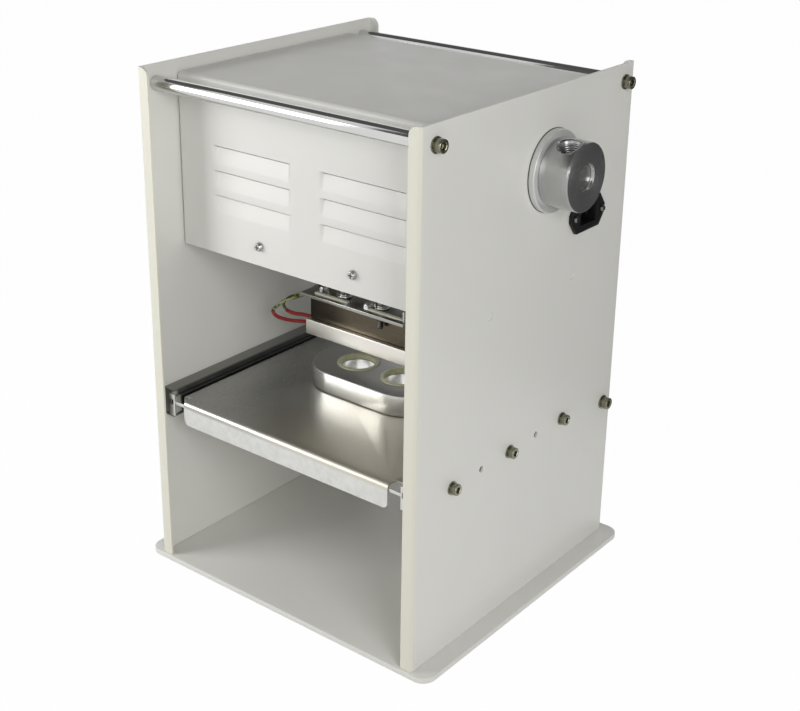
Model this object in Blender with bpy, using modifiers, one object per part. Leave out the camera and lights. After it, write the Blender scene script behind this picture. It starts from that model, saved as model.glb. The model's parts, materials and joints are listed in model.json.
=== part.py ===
"""A bench cup sealing machine: a two-station heated hand press in a folded steel frame.

Machine coordinates are in metres: x = 0 is the centre plane, y = 0 the front of the side panels,
z = 0 the top of the base plate, where the panels stand. The empty "machine" shifts all of it so
that the world's origin lies at the bottom centre of the machine's bounding box.
"""

import math

import bmesh
import bpy
from mathutils import Matrix, Vector

# ---------------------------------------------------------------- driving dimensions, in metres
GAP = 0.0003                      # between pieces that touch
RUNNING_GAP = 0.0003              # round a shaft, post or screw shank
SLIDE_GAP = 0.0003                # between sliding faces

FRAME_WIDTH = 0.2806              # over the side panels
FRAME_DEPTH = 0.284
PANEL_HEIGHT = 0.436
PANEL_SHEET = 0.002
PANEL_FLANGE = 0.011
PANEL_BEND = 0.004
PANEL_CORNER = 0.006              # rounding of a flange's top inner corner
BASE_THICKNESS = 0.005
BASE_SIDE_LIP = 0.016
BASE_FRONT_LIP = 0.002
BASE_REAR_LIP = 0.008
BASE_CORNER = 0.012
FOOT_HEIGHT = 0.0035
FOOT_DIAMETER = 0.018
FOOT_INSET = 0.014

ROD_DIAMETER = 0.012
ROD_EDGE = 0.0165                 # front rod's axis behind the panels' front
ROD_REAR_EDGE = 0.014             # rear rods' axis ahead of the panels' rear
ROD_TOP_EDGE = 0.015              # upper rods' axis below the panels' top
LOWER_ROD_HEIGHT = 0.134
ROD_THREAD_DEPTH = 0.014
ROD_SCREW = {"shank": 0.006, "head": 0.0105, "height": 0.0055, "washer": 0.0125, "socket": 0.0055}

COVER_SHEET = 0.0015
COVER_SIDE_GAP = 0.0005           # to each panel's inner face
COVER_SETBACK = 0.038             # cover's front behind the panels' front
COVER_DEPTH = 0.215
COVER_BOTTOM = 0.2815
COVER_HEIGHT = 0.1455
COVER_BEND = 0.004
COVER_RETURN = 0.010              # flange left round each open side
COVER_SCREW_SPREAD = 0.0488
COVER_SCREW_RISE = 0.0165
COVER_SCREW = {"shank": 0.004, "head": 0.008, "height": 0.0026, "washer": 0.008, "socket": 0.003}
LOUVRE_WIDTH = 0.085
LOUVRE_HEIGHT = 0.015
LOUVRE_DEPTH = 0.007
LOUVRE_PITCH = 0.0207
LOUVRE_CENTRE = 0.057             # of each column, from the centre plane
LOUVRE_RISE = 0.050               # lowest louvre's cut edge above the cover's bottom
LOUVRE_ROWS = 3

DECK_SHEET = 0.002
DECK_FLANGE = 0.022
DECK_BEND = 0.002

RAIL_SETBACK = 0.008              # rails' front behind the panels' front
RAIL_LENGTH = 0.250
RAIL_HEIGHT = 0.025
RAIL_WIDTH = 0.012
RAIL_SHEET = 0.0015
RAIL_CENTRE = 0.146
RAIL_SCREW_DROP = 0.0025          # screw row below the rail's centre line
RAIL_SCREW_FIRST = 0.047
RAIL_SCREW_PITCH = 0.0775
RAIL_SCREW = {"shank": 0.005, "head": 0.0095, "height": 0.0048, "washer": 0.0112, "socket": 0.0045}
INNER_RAIL_LENGTH = 0.242
INNER_RAIL_FLANGE = 0.0025
INNER_RAIL_BODY = 0.015
INNER_RAIL_REACH = 0.0035         # how far the inner rail stands out of the outer one
SPARE_HOLE = 0.004
SPARE_HOLES = ((0.090, 0.272), (0.205, 0.272))

TRAY_SHEET = 0.0015
TRAY_TOP = 0.1535
TRAY_DEPTH = 0.232
TRAY_SETBACK = 0.005
TRAY_LIP_WIDTH = 0.2212
TRAY_LIP = 0.021
TRAY_SKIRT = 0.016
TRAY_SKIRT_START = 0.010
TRAY_BEND = 0.0025
TRAY_HOLE = 0.034

STATION_PITCH = 0.048             # between the two cups
STATION_Y = 0.131
MOULD_LENGTH = 0.130
MOULD_WIDTH = 0.071
MOULD_HEIGHT = 0.0185
RING_OUTER = 0.037
RING_INNER = 0.030
RING_HEIGHT = 0.005
RING_PROUD = 0.001

HEAD_LIFT = 0.0287                # sealing plate above the rings at rest
SEAL_PLATE = (0.110, 0.066, 0.0135)
SEAL_PLATE_EDGE = 0.002
HEATER_BLOCK = (0.106, 0.058, 0.0227)
HEAD_PLATE = (0.1104, 0.0785, 0.003)
HEAD_PLATE_FRONT = 0.0395         # its front edge ahead of the stations
CARTRIDGE_DIAMETER = 0.0090
CARTRIDGE_LENGTH = 0.090
CARTRIDGE_FORWARD = 0.020         # ahead of the stations, in the sealing plate
POST_DIAMETER = 0.010
POST_SPREAD = 0.020
POST_FRONT = 0.023                # front posts ahead of the stations, rear posts behind them
POST_LENGTH = 0.108
POST_COLLAR = 0.016
POST_COLLAR_HEIGHT = 0.005
POST_COLLAR_DROP = 0.006
SPRING_WIRE = 0.0015
SPRING_DIAMETER = 0.0132
SPRING_TURNS = 7

SHAFT_DIAMETER = 0.020
SHAFT_Y = 0.1653
SHAFT_Z = 0.370
SHAFT_LEFT_END = 0.016
GEAR_MODULE = 0.002
PINION_TEETH = 20
PINION_WIDTH = 0.0134
PRESSURE_ANGLE = math.radians(20)
BACKLASH = 0.0004
RACK_WIDTH = 0.014
RACK_DEPTH = 0.0198               # from its front face to the roots of its teeth
RACK_TEETH_BELOW = 2
RACK_TEETH_ABOVE = 6
PRESS_BODY_WALL = 0.0045
PRESS_BODY_FRONT_WALL = 0.0062
PRESS_BODY_HEIGHT = 0.108
PRESS_BODY_REAR = 0.186

BEARING_DIAMETER = 0.066
BEARING_THICKNESS = 0.0052
BEARING_SPIGOT = 0.034
BEARING_SPIGOT_LENGTH = 0.012
HUB_DIAMETER = 0.0548
HUB_DISC_DIAMETER = 0.0542
HUB_DISC_THICKNESS = 0.0012
HUB_END = 0.0315                  # hub's outer face beyond the panel
HUB_RECESS = 0.0224
HUB_RECESS_DEPTH = 0.002
SHAFT_END_DEPTH = 0.0025
SOCKET_TILT = math.radians(20)    # lever socket, forward of straight up
SOCKET_FLAT = 0.0245
SOCKET_DIAMETER = 0.016
SOCKET_CHAMFER = 0.0015
SOCKET_FLOOR = 0.0125             # socket's bottom, from the shaft's axis
SOCKET_X = 0.0200                 # socket's axis beyond the panel

INLET_Y = 0.220
INLET_Z = 0.322
INLET_FLANGE = (0.050, 0.0275, 0.003)
INLET_BODY = (0.027, 0.0195, 0.020)
INLET_CAVITY = (0.0235, 0.016, 0.016)
INLET_PIN = (0.002, 0.004, 0.010)
INLET_PIN_SPREAD = 0.007
INLET_WALL_END = 0.017            # half of the flange's straight top and bottom edges
INLET_SCREW_SPREAD = 0.020
INLET_SCREW = {"shank": 0.003, "head": 0.0055, "height": 0.0018, "washer": 0.0055, "socket": 0.0022}

SWITCH_X = -0.075
SWITCH_Z = 0.352
SWITCH_BEZEL = (0.021, 0.015, 0.002)
SWITCH_BODY = (0.019, 0.013, 0.017)
SWITCH_MOUTH = (0.0165, 0.0105, 0.008)
ROCKER_SIZE = (0.0155, 0.0095, 0.006)
ROCKER_TILT = math.radians(8)
THERMOSTAT_X = 0.070
THERMOSTAT_Z = 0.352
THERMOSTAT_DIAMETER = 0.040
THERMOSTAT_DEPTH = 0.024
THERMOSTAT_BUSH = 0.009
KNOB_DIAMETER = 0.034
KNOB_HEIGHT = 0.015

LEAD_DIAMETER = 0.0026
COUPLE_DIAMETER = 0.0022

# ---------------------------------------------------------------- places that follow from them
PANEL_X = FRAME_WIDTH / 2
INNER_X = PANEL_X - PANEL_SHEET
ROD_FRONT = (ROD_EDGE, PANEL_HEIGHT - ROD_TOP_EDGE)
ROD_REAR = (FRAME_DEPTH - ROD_REAR_EDGE, PANEL_HEIGHT - ROD_TOP_EDGE)
ROD_LOWER = (FRAME_DEPTH - ROD_REAR_EDGE, LOWER_ROD_HEIGHT)
COVER_X = INNER_X - COVER_SIDE_GAP
COVER_REAR = COVER_SETBACK + COVER_DEPTH
COVER_TOP = COVER_BOTTOM + COVER_HEIGHT
COVER_SCREW_Z = COVER_BOTTOM + COVER_SCREW_RISE
DECK_BOTTOM = COVER_BOTTOM + GAP
DECK_TOP = DECK_BOTTOM + DECK_SHEET
RAIL_SCREW_Z = RAIL_CENTRE - RAIL_SCREW_DROP
RAIL_SCREW_Y = [RAIL_SCREW_FIRST + i * RAIL_SCREW_PITCH for i in range(3)]
RAIL_OUTER_X = INNER_X - GAP
RAIL_MOUTH_X = RAIL_OUTER_X - RAIL_WIDTH
INNER_RAIL_X = RAIL_MOUTH_X - INNER_RAIL_REACH
TRAY_X = INNER_RAIL_X - GAP
MOULD_TOP = TRAY_TOP + GAP + MOULD_HEIGHT
RING_TOP = MOULD_TOP + RING_PROUD
SEAL_BOTTOM = RING_TOP + HEAD_LIFT
HEATER_BOTTOM = SEAL_BOTTOM + SEAL_PLATE[2] + GAP
HEAD_PLATE_BOTTOM = HEATER_BOTTOM + HEATER_BLOCK[2] + GAP
HEAD_PLATE_TOP = HEAD_PLATE_BOTTOM + HEAD_PLATE[2]
HEAD_STAND = HEAD_PLATE_TOP + GAP
STROKE = HEAD_LIFT - GAP
PITCH_RADIUS = GEAR_MODULE * PINION_TEETH / 2
RACK_PITCH_Y = SHAFT_Y - PITCH_RADIUS
RACK_ROOT_Y = RACK_PITCH_Y - 1.25 * GEAR_MODULE
RACK_FRONT_Y = RACK_ROOT_Y - RACK_DEPTH
TOOTH_PITCH = math.pi * GEAR_MODULE
HUB_START = BEARING_THICKNESS + 2 * GAP
STATIONS = (-STATION_PITCH / 2, STATION_PITCH / 2)
POST_Y = (STATION_Y - POST_FRONT, STATION_Y + POST_FRONT)
BASE_TOP = -GAP
BASE_BOTTOM = BASE_TOP - BASE_THICKNESS
FOOT_TOP = BASE_BOTTOM - GAP
REACH_RIGHT = PANEL_X + max(HUB_END, BASE_SIDE_LIP)
REACH_LEFT = PANEL_X + BASE_SIDE_LIP
WORLD_SHIFT = Vector((
    (REACH_LEFT - REACH_RIGHT) / 2,
    -(FRAME_DEPTH + BASE_REAR_LIP - BASE_FRONT_LIP) / 2,
    FOOT_HEIGHT - FOOT_TOP,
))

TO_X = (0.0, math.pi / 2, 0.0)    # turns local +Z to +X
TO_MINUS_X = (0.0, -math.pi / 2, 0.0)
TO_Y = (-math.pi / 2, 0.0, 0.0)
TO_MINUS_Y = (math.pi / 2, 0.0, 0.0)

# name: (base colour, metallic, roughness)
FINISHES = {
    "white_paint": ((0.83, 0.82, 0.77), 0.0, 0.38),
    "cover_paint": ((0.84, 0.83, 0.79), 0.0, 0.34),
    "bright_steel": ((0.62, 0.62, 0.61), 1.0, 0.16),
    "brushed_steel": ((0.52, 0.52, 0.51), 1.0, 0.33),
    "zinc": ((0.60, 0.61, 0.60), 1.0, 0.34),
    "rail_steel": ((0.30, 0.30, 0.29), 1.0, 0.42),
    "aluminium": ((0.75, 0.75, 0.76), 1.0, 0.28),
    "tinted_steel": ((0.30, 0.25, 0.20), 1.0, 0.22),
    "spring_steel": ((0.35, 0.35, 0.36), 1.0, 0.35),
    "black_plastic": ((0.012, 0.012, 0.013), 0.0, 0.35),
    "black_rubber": ((0.02, 0.02, 0.02), 0.0, 0.8),
    "silicone": ((0.66, 0.66, 0.36), 0.0, 0.35),
    "red_lead": ((0.45, 0.02, 0.02), 0.0, 0.5),
    "braid": ((0.35, 0.36, 0.14), 0.0, 0.7),
}


# ---------------------------------------------------------------- scene and helpers
def clear_scene():
    for obj in list(bpy.data.objects):
        bpy.data.objects.remove(obj, do_unlink=True)


def new_collection(name, hidden=False):
    collection = bpy.data.collections.new(name)
    bpy.context.scene.collection.children.link(collection)
    collection.hide_render = hidden
    return collection


def finish_material(name):
    material = bpy.data.materials.get(name)
    if material is None:
        colour, metallic, roughness = FINISHES[name]
        material = bpy.data.materials.new(name)
        material.use_nodes = True
        shader = material.node_tree.nodes["Principled BSDF"]
        shader.inputs["Base Color"].default_value = (*colour, 1.0)
        shader.inputs["Metallic"].default_value = metallic
        shader.inputs["Roughness"].default_value = roughness
        material.diffuse_color = (*colour, 1.0)
    return material


def place(obj, parent, location=(0, 0, 0), rotation=(0, 0, 0), finish=None):
    """Puts an object into the machine, or among the cutters if it has no finish."""
    (PARTS if finish else CUTTERS).objects.link(obj)
    obj.parent = parent
    obj.location = location
    obj.rotation_euler = rotation
    if finish:
        obj.data.materials.append(finish_material(finish))
    else:
        obj.hide_render = True
        obj.display_type = "WIRE"
    return obj


def empty(name, location, parent=None, rotation=(0, 0, 0)):
    obj = bpy.data.objects.new(name, None)
    PARTS.objects.link(obj)
    obj.parent = parent
    obj.location = location
    obj.rotation_euler = rotation
    return obj


def mesh_object(name, bm):
    mesh = bpy.data.meshes.new(name)
    bm.to_mesh(mesh)
    bm.free()
    return bpy.data.objects.new(name, mesh)


def box_mesh(low, high):
    bm = bmesh.new()
    bmesh.ops.create_cube(bm, size=1.0)
    size = Vector(high) - Vector(low)
    bmesh.ops.scale(bm, vec=size, verts=bm.verts)
    bmesh.ops.translate(bm, vec=(Vector(low) + Vector(high)) / 2, verts=bm.verts)
    return bm


def box(name, low, high, parent, finish=None, bevel=0.0, location=(0, 0, 0), rotation=(0, 0, 0)):
    """A block from corner to corner, with all its edges rounded where bevel is set."""
    obj = place(mesh_object(name, box_mesh(low, high)), parent, location, rotation, finish)
    if bevel:
        add_bevel(obj, bevel)
    return obj


def add_bevel(obj, width, segments=2):
    modifier = obj.modifiers.new("rounded_edges", "BEVEL")
    modifier.width = width
    modifier.segments = segments
    modifier.limit_method = "ANGLE"
    modifier.angle_limit = math.radians(40)
    return modifier


def add_solidify(obj, thickness, offset=-1.0):
    modifier = obj.modifiers.new("sheet", "SOLIDIFY")
    modifier.thickness = thickness
    modifier.offset = offset
    modifier.use_even_offset = True
    return modifier


def combine(obj, other, operation="DIFFERENCE"):
    modifier = obj.modifiers.new(f"{operation.lower()}_{other.name}", "BOOLEAN")
    modifier.operation = operation
    modifier.object = other
    return modifier


def turned(name, profile, parent, finish=None, location=(0, 0, 0), rotation=(0, 0, 0), steps=24,
           closed=False):
    """A profile of (radius, height) points turned about local Z; it runs down the outer side."""
    bm = bmesh.new()
    verts = [bm.verts.new((radius, 0.0, height)) for radius, height in profile]
    pairs = list(zip(verts, verts[1:]))
    if closed:
        pairs.append((verts[-1], verts[0]))
    for pair in pairs:
        bm.edges.new(pair)
    obj = place(mesh_object(name, bm), parent, location, rotation, finish)
    modifier = obj.modifiers.new("turned", "SCREW")
    modifier.angle = 2 * math.pi
    modifier.steps = steps
    modifier.render_steps = steps
    modifier.use_merge_vertices = True
    modifier.merge_threshold = 0.00001
    modifier.use_smooth_shade = True
    return obj


def cylinder(name, radius, low, high, parent, finish=None, location=(0, 0, 0), rotation=(0, 0, 0),
             steps=24):
    """A plain cylinder along local Z."""
    bm = bmesh.new()
    bmesh.ops.create_cone(bm, cap_ends=True, segments=steps, radius1=radius, radius2=radius,
                          depth=high - low)
    bmesh.ops.translate(bm, vec=(0, 0, (low + high) / 2), verts=bm.verts)
    return place(mesh_object(name, bm), parent, location, rotation, finish)


def arc(centre, radius, start, end, count):
    """Points on an arc, from one angle in degrees to another."""
    step = (end - start) / count
    angles = [math.radians(start + i * step) for i in range(count + 1)]
    return [(centre[0] + radius * math.cos(a), centre[1] + radius * math.sin(a)) for a in angles]


def rounded_rectangle(x_low, y_low, x_high, y_high, radius, count=4):
    corners = ((x_high - radius, y_low + radius, -90), (x_high - radius, y_high - radius, 0),
               (x_low + radius, y_high - radius, 90), (x_low + radius, y_low + radius, 180))
    return [p for x, y, a in corners for p in arc((x, y), radius, a, a + 90, count)]


def prism(name, outline, low, high, parent, finish=None, location=(0, 0, 0), rotation=(0, 0, 0),
          holes=()):
    """A flat outline in local XY, filled, and extruded along local Z from low to high."""
    curve = bpy.data.curves.new(name, "CURVE")
    curve.dimensions = "2D"
    curve.fill_mode = "BOTH"
    curve.extrude = (high - low) / 2
    for points in (outline, *holes):
        spline = curve.splines.new("POLY")
        spline.points.add(len(points) - 1)
        for point, (x, y) in zip(spline.points, points):
            point.co = (x, y, 0.0, 1.0)
        spline.use_cyclic_u = True
    source = bpy.data.objects.new(name + "_outline", curve)
    bpy.context.scene.collection.objects.link(source)
    graph = bpy.context.evaluated_depsgraph_get()
    mesh = bpy.data.meshes.new_from_object(source.evaluated_get(graph))
    bpy.data.objects.remove(source, do_unlink=True)
    bm = bmesh.new()
    bm.from_mesh(mesh)
    bmesh.ops.remove_doubles(bm, verts=bm.verts, dist=0.000001)
    bmesh.ops.recalc_face_normals(bm, faces=bm.faces)
    bmesh.ops.translate(bm, vec=(0, 0, (low + high) / 2), verts=bm.verts)
    bm.to_mesh(mesh)
    bm.free()
    mesh.materials.clear()
    return place(bpy.data.objects.new(name, mesh), parent, location, rotation, finish)


def smooth_route(points, spacing):
    """A Catmull-Rom curve through the points, sampled about every spacing metres."""
    points = [Vector(p) for p in points]
    ends = [2 * points[0] - points[1], *points, 2 * points[-1] - points[-2]]
    route = []
    for i in range(1, len(ends) - 2):
        a, b, c, d = ends[i - 1:i + 3]
        count = max(2, round((c - b).length / spacing))
        for k in range(count):
            t = k / count
            route.append(0.5 * (2 * b + (c - a) * t + (2 * a - 5 * b + 4 * c - d) * t * t
                                + (3 * b - a - 3 * c + d) * t ** 3))
    return [*route, points[-1]]


def tube(name, points, diameter, parent, finish, location=(0, 0, 0)):
    curve = bpy.data.curves.new(name, "CURVE")
    curve.dimensions = "3D"
    curve.bevel_depth = diameter / 2
    curve.bevel_resolution = 2
    curve.use_fill_caps = True
    spline = curve.splines.new("POLY")
    spline.points.add(len(points) - 1)
    for point, co in zip(spline.points, points):
        point.co = (*co, 1.0)
    return place(bpy.data.objects.new(name, curve), parent, location, finish=finish)


def folded_sheet(name, outline, folds, thickness, bend, parent, finish, level):
    """A flat sheet at height level with some edges folded: folds maps edge index to height."""
    bm = bmesh.new()
    flat = [bm.verts.new((x, y, level)) for x, y in outline]
    bm.faces.new(flat)
    for index, height in folds.items():
        a, b = flat[index], flat[(index + 1) % len(flat)]
        low_a = bm.verts.new(a.co + Vector((0, 0, height)))
        low_b = bm.verts.new(b.co + Vector((0, 0, height)))
        bm.faces.new((b, a, low_a, low_b))
    obj = place(mesh_object(name, bm), parent, finish=finish)
    add_bevel(obj, bend)
    add_solidify(obj, thickness)
    return obj


def screw(name, size, grip, parent, finish, location, rotation):
    """A screw along local Z with its head's seat at z = 0, washer and head above, shank below."""
    washer, head, socket = size["washer"] / 2, size["head"] / 2, size["socket"] / 2
    seat = size["height"] * 0.25
    top = seat + size["height"]
    chamfer = size["height"] * 0.12
    profile = [
        (0.0, top - 0.55 * size["height"]), (socket, top - 0.55 * size["height"]),
        (socket, top), (head - chamfer, top), (head, top - chamfer), (head, seat),
        (washer, seat), (washer, 0.0), (size["shank"] / 2, 0.0), (size["shank"] / 2, -grip),
        (0.0, -grip),
    ]
    return turned(name, profile, parent, finish, location, rotation, steps=12)


# ---------------------------------------------------------------- frame
def base_plate(machine):
    outline = rounded_rectangle(-PANEL_X - BASE_SIDE_LIP, -BASE_FRONT_LIP, PANEL_X + BASE_SIDE_LIP,
                                FRAME_DEPTH + BASE_REAR_LIP, BASE_CORNER)
    prism("base_plate", outline, BASE_BOTTOM, BASE_TOP, machine, "white_paint")


def feet(machine):
    radius = FOOT_DIAMETER / 2
    profile = [(0, FOOT_TOP), (radius, FOOT_TOP), (radius, FOOT_TOP - FOOT_HEIGHT * 0.6),
               (radius * 0.85, FOOT_TOP - FOOT_HEIGHT), (0, FOOT_TOP - FOOT_HEIGHT)]
    for row, y in (("front", FOOT_INSET - BASE_FRONT_LIP), ("rear", FRAME_DEPTH - FOOT_INSET)):
        for side, sign in (("left", -1), ("right", 1)):
            x = sign * (PANEL_X + BASE_SIDE_LIP - FOOT_INSET)
            turned(f"foot_{row}_{side}", profile, machine, "black_rubber", (x, y, 0))


def panel_path():
    """The folded section of the right panel, seen from above: rear flange, web, front flange."""
    bend, x, depth = PANEL_BEND, PANEL_X, FRAME_DEPTH
    edge = x - PANEL_FLANGE
    rear = [(edge, depth), (edge + PANEL_CORNER, depth)]
    rear += arc((x - bend, depth - bend), bend, 90, 0, 4)
    front = arc((x - bend, bend), bend, 0, -90, 4)
    return rear + front + [(edge + PANEL_CORNER, 0.0), (edge, 0.0)]


def side_panel(machine, name, sign, cutters):
    path = panel_path()
    bm = bmesh.new()
    last = len(path) - 1
    tops = {0: PANEL_HEIGHT - PANEL_CORNER, last: PANEL_HEIGHT - PANEL_CORNER}
    low = [bm.verts.new((sign * x, y, 0.0)) for x, y in path]
    high = [bm.verts.new((sign * x, y, tops.get(i, PANEL_HEIGHT))) for i, (x, y) in enumerate(path)]
    for i in range(last):
        quad = (low[i], low[i + 1], high[i + 1], high[i])
        bm.faces.new(quad if sign < 0 else quad[::-1])
    obj = place(mesh_object(name, bm), machine, finish="white_paint")
    add_solidify(obj, PANEL_SHEET)
    for cutter in cutters:
        combine(obj, cutter)
    return obj


def through_hole(name, machine, y, z, diameter, sign):
    """A cutter through one side panel and what lies against it."""
    start, end = INNER_X - 0.006, PANEL_X + 0.006
    rotation = TO_X if sign > 0 else TO_MINUS_X
    radius = diameter / 2 + RUNNING_GAP
    return cylinder(name, radius, start, end, machine, location=(0, y, z), rotation=rotation,
                    steps=20)


def panels(machine):
    for side, sign in (("left", -1), ("right", 1)):
        rod_holes = [through_hole(f"cut_{side}_rod_{i}", machine, y, z, ROD_SCREW["shank"], sign)
                     for i, (y, z) in enumerate((ROD_FRONT, ROD_REAR, ROD_LOWER))]
        rail_holes = [through_hole(f"cut_{side}_rail_{i}", machine, y, RAIL_SCREW_Z,
                                   RAIL_SCREW["shank"], sign) for i, y in enumerate(RAIL_SCREW_Y)]
        between = [(y + RAIL_SCREW_PITCH / 2, RAIL_SCREW_Z) for y in RAIL_SCREW_Y[:2]]
        spare = [through_hole(f"cut_{side}_spare_{i}", machine, y, z, SPARE_HOLE, sign)
                 for i, (y, z) in enumerate((*SPARE_HOLES, *between))]
        cutters = [*rod_holes, *rail_holes, *spare]
        if sign > 0:
            cutters.append(through_hole("cut_bearing", machine, SHAFT_Y, SHAFT_Z, BEARING_SPIGOT,
                                        sign))
            half_y = INLET_BODY[0] / 2 + GAP
            half_z = INLET_BODY[1] / 2 + GAP
            cutters.append(box("cut_inlet", (INNER_X - 0.004, INLET_Y - half_y, INLET_Z - half_z),
                               (PANEL_X + 0.004, INLET_Y + half_y, INLET_Z + half_z), machine))
            cutters += [through_hole(f"cut_inlet_screw_{i}", machine, INLET_Y + i * INLET_SCREW_SPREAD,
                                     INLET_Z, INLET_SCREW["shank"], sign) for i in (-1, 1)]
        side_panel(machine, f"{side}_side_panel", sign, cutters)
        outer_rail(machine, side, sign, rail_holes)
        for i, y in enumerate(RAIL_SCREW_Y):
            screw(f"rail_screw_{side}_{('front', 'middle', 'rear')[i]}", RAIL_SCREW,
                  PANEL_SHEET + RAIL_SHEET + 3 * GAP, machine, "zinc",
                  (sign * (PANEL_X + GAP), y, RAIL_SCREW_Z), TO_X if sign > 0 else TO_MINUS_X)


def tie_rod(machine, name, y, z):
    """A rod between the panels' inner faces, with a blind hole for a screw in each end."""
    half = INNER_X - GAP
    radius, bore = ROD_DIAMETER / 2, ROD_SCREW["shank"] / 2 + RUNNING_GAP
    floor = half - ROD_THREAD_DEPTH
    profile = [(0, floor), (bore, floor), (bore, half), (radius, half), (radius, -half),
               (bore, -half), (bore, -floor), (0, -floor)]
    turned(name, profile, machine, "bright_steel", (0, y, z), TO_X)
    for side, sign in (("left", -1), ("right", 1)):
        screw(f"{name}_screw_{side}", ROD_SCREW, PANEL_SHEET + ROD_THREAD_DEPTH - 0.002, machine,
              "zinc", (sign * (PANEL_X + GAP), y, z), TO_X if sign > 0 else TO_MINUS_X)


def tie_rods(machine):
    tie_rod(machine, "front_tie_rod", *ROD_FRONT)
    tie_rod(machine, "rear_tie_rod", *ROD_REAR)
    tie_rod(machine, "lower_tie_rod", *ROD_LOWER)


def outer_rail(machine, side, sign, rail_holes):
    """A channel along Y, open towards the tray."""
    x, mouth, sheet, half = RAIL_OUTER_X, RAIL_MOUTH_X, RAIL_SHEET, RAIL_HEIGHT / 2
    section = [(x, -half), (x, half), (mouth, half), (mouth, half - sheet), (x - sheet, half - sheet),
               (x - sheet, sheet - half), (mouth, sheet - half), (mouth, -half)]
    section = [(sign * px, pz) for px, pz in section]
    obj = prism(f"outer_rail_{side}", section, -RAIL_LENGTH, 0, machine, "rail_steel",
                (0, RAIL_SETBACK, RAIL_CENTRE), TO_MINUS_Y)
    for cutter in rail_holes:
        combine(obj, cutter)


# ---------------------------------------------------------------- housing
def cover_shell(machine):
    low = (-COVER_X, COVER_SETBACK, COVER_BOTTOM)
    bm = box_mesh(low, (COVER_X, COVER_REAR, COVER_TOP))
    bottom = [f for f in bm.faces if f.normal.z < -0.5]
    bmesh.ops.delete(bm, geom=bottom, context="FACES_ONLY")
    obj = place(mesh_object("housing_cover", bm), machine, finish="cover_paint")
    add_bevel(obj, COVER_BEND, 3)
    add_solidify(obj, COVER_SHEET)
    return obj


def louvre_wedge(name, machine, x, top, depth, foot, skin):
    """A wedge behind the cover's front: its slope starts at the foot and is deepest at the top."""
    front = COVER_SETBACK
    section = [(front + skin, top - LOUVRE_HEIGHT + foot), (front + skin + depth, top),
               (front - 0.002 + 2 * skin, top), (front - 0.002 + 2 * skin, top - LOUVRE_HEIGHT + foot)]
    half = LOUVRE_WIDTH / 2 + (skin if skin else 0.0)
    # local X is the machine's Y and local Y its Z, so the prism runs along X
    frame = Matrix(((0, 0, 1), (1, 0, 0), (0, 1, 0))).to_euler()
    return prism(name, section, -half, half, machine, location=(x, 0, 0), rotation=frame)


def cut_louvres(machine, cover):
    for row in range(LOUVRE_ROWS):
        top = COVER_BOTTOM + LOUVRE_RISE + row * LOUVRE_PITCH
        for column, x in enumerate((-LOUVRE_CENTRE, LOUVRE_CENTRE)):
            tag = f"louvre_{row}_{column}"
            boss = louvre_wedge(f"add_{tag}", machine, x, top, LOUVRE_DEPTH, 0.0, COVER_SHEET)
            combine(cover, boss, "UNION")
            hollow = louvre_wedge(f"cut_{tag}", machine, x, top + GAP, LOUVRE_DEPTH, COVER_SHEET, 0.0)
            combine(cover, hollow)


def housing_cover(machine):
    cover = cover_shell(machine)
    cut_louvres(machine, cover)
    window = box("cut_cover_sides", (-PANEL_X, COVER_SETBACK + COVER_RETURN, COVER_BOTTOM - 0.01),
                 (PANEL_X, COVER_REAR - COVER_RETURN, COVER_TOP - COVER_RETURN), machine)
    combine(cover, window)
    shank = COVER_SCREW["shank"] / 2 + RUNNING_GAP
    for side, x in (("left", -COVER_SCREW_SPREAD), ("right", COVER_SCREW_SPREAD)):
        combine(cover, cylinder(f"cut_cover_screw_{side}", shank, 0, 0.008, machine, rotation=TO_Y,
                                location=(x, COVER_SETBACK - 0.002, COVER_SCREW_Z), steps=16))
        screw(f"cover_screw_{side}", COVER_SCREW, COVER_SHEET + DECK_SHEET + 3 * GAP, machine, "zinc",
              (x, COVER_SETBACK - GAP, COVER_SCREW_Z), TO_MINUS_Y)
    half_x, half_z = SWITCH_BODY[0] / 2 + GAP, SWITCH_BODY[1] / 2 + GAP
    combine(cover, box("cut_switch", (SWITCH_X - half_x, COVER_REAR - 0.004, SWITCH_Z - half_z),
                       (SWITCH_X + half_x, COVER_REAR + 0.004, SWITCH_Z + half_z), machine))
    combine(cover, cylinder("cut_thermostat", THERMOSTAT_BUSH / 2 + RUNNING_GAP, -0.005, 0.005,
                            machine, rotation=TO_Y, location=(THERMOSTAT_X, COVER_REAR, THERMOSTAT_Z),
                            steps=20))
    return cover


def deck_outline():
    """The deck seen from above: full width between the cover's side returns, narrower at its ends."""
    wide, narrow = INNER_X - GAP, COVER_X - COVER_SHEET - COVER_BEND - GAP
    front, rear = COVER_SETBACK + COVER_SHEET + GAP, COVER_REAR - COVER_SHEET - GAP
    step_front = COVER_SETBACK + COVER_RETURN + GAP
    step_rear = COVER_REAR - COVER_RETURN - GAP
    right = [(narrow, front), (narrow, step_front), (wide, step_front), (wide, step_rear),
             (narrow, step_rear), (narrow, rear)]
    return right + [(-x, y) for x, y in reversed(right)]


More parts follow.
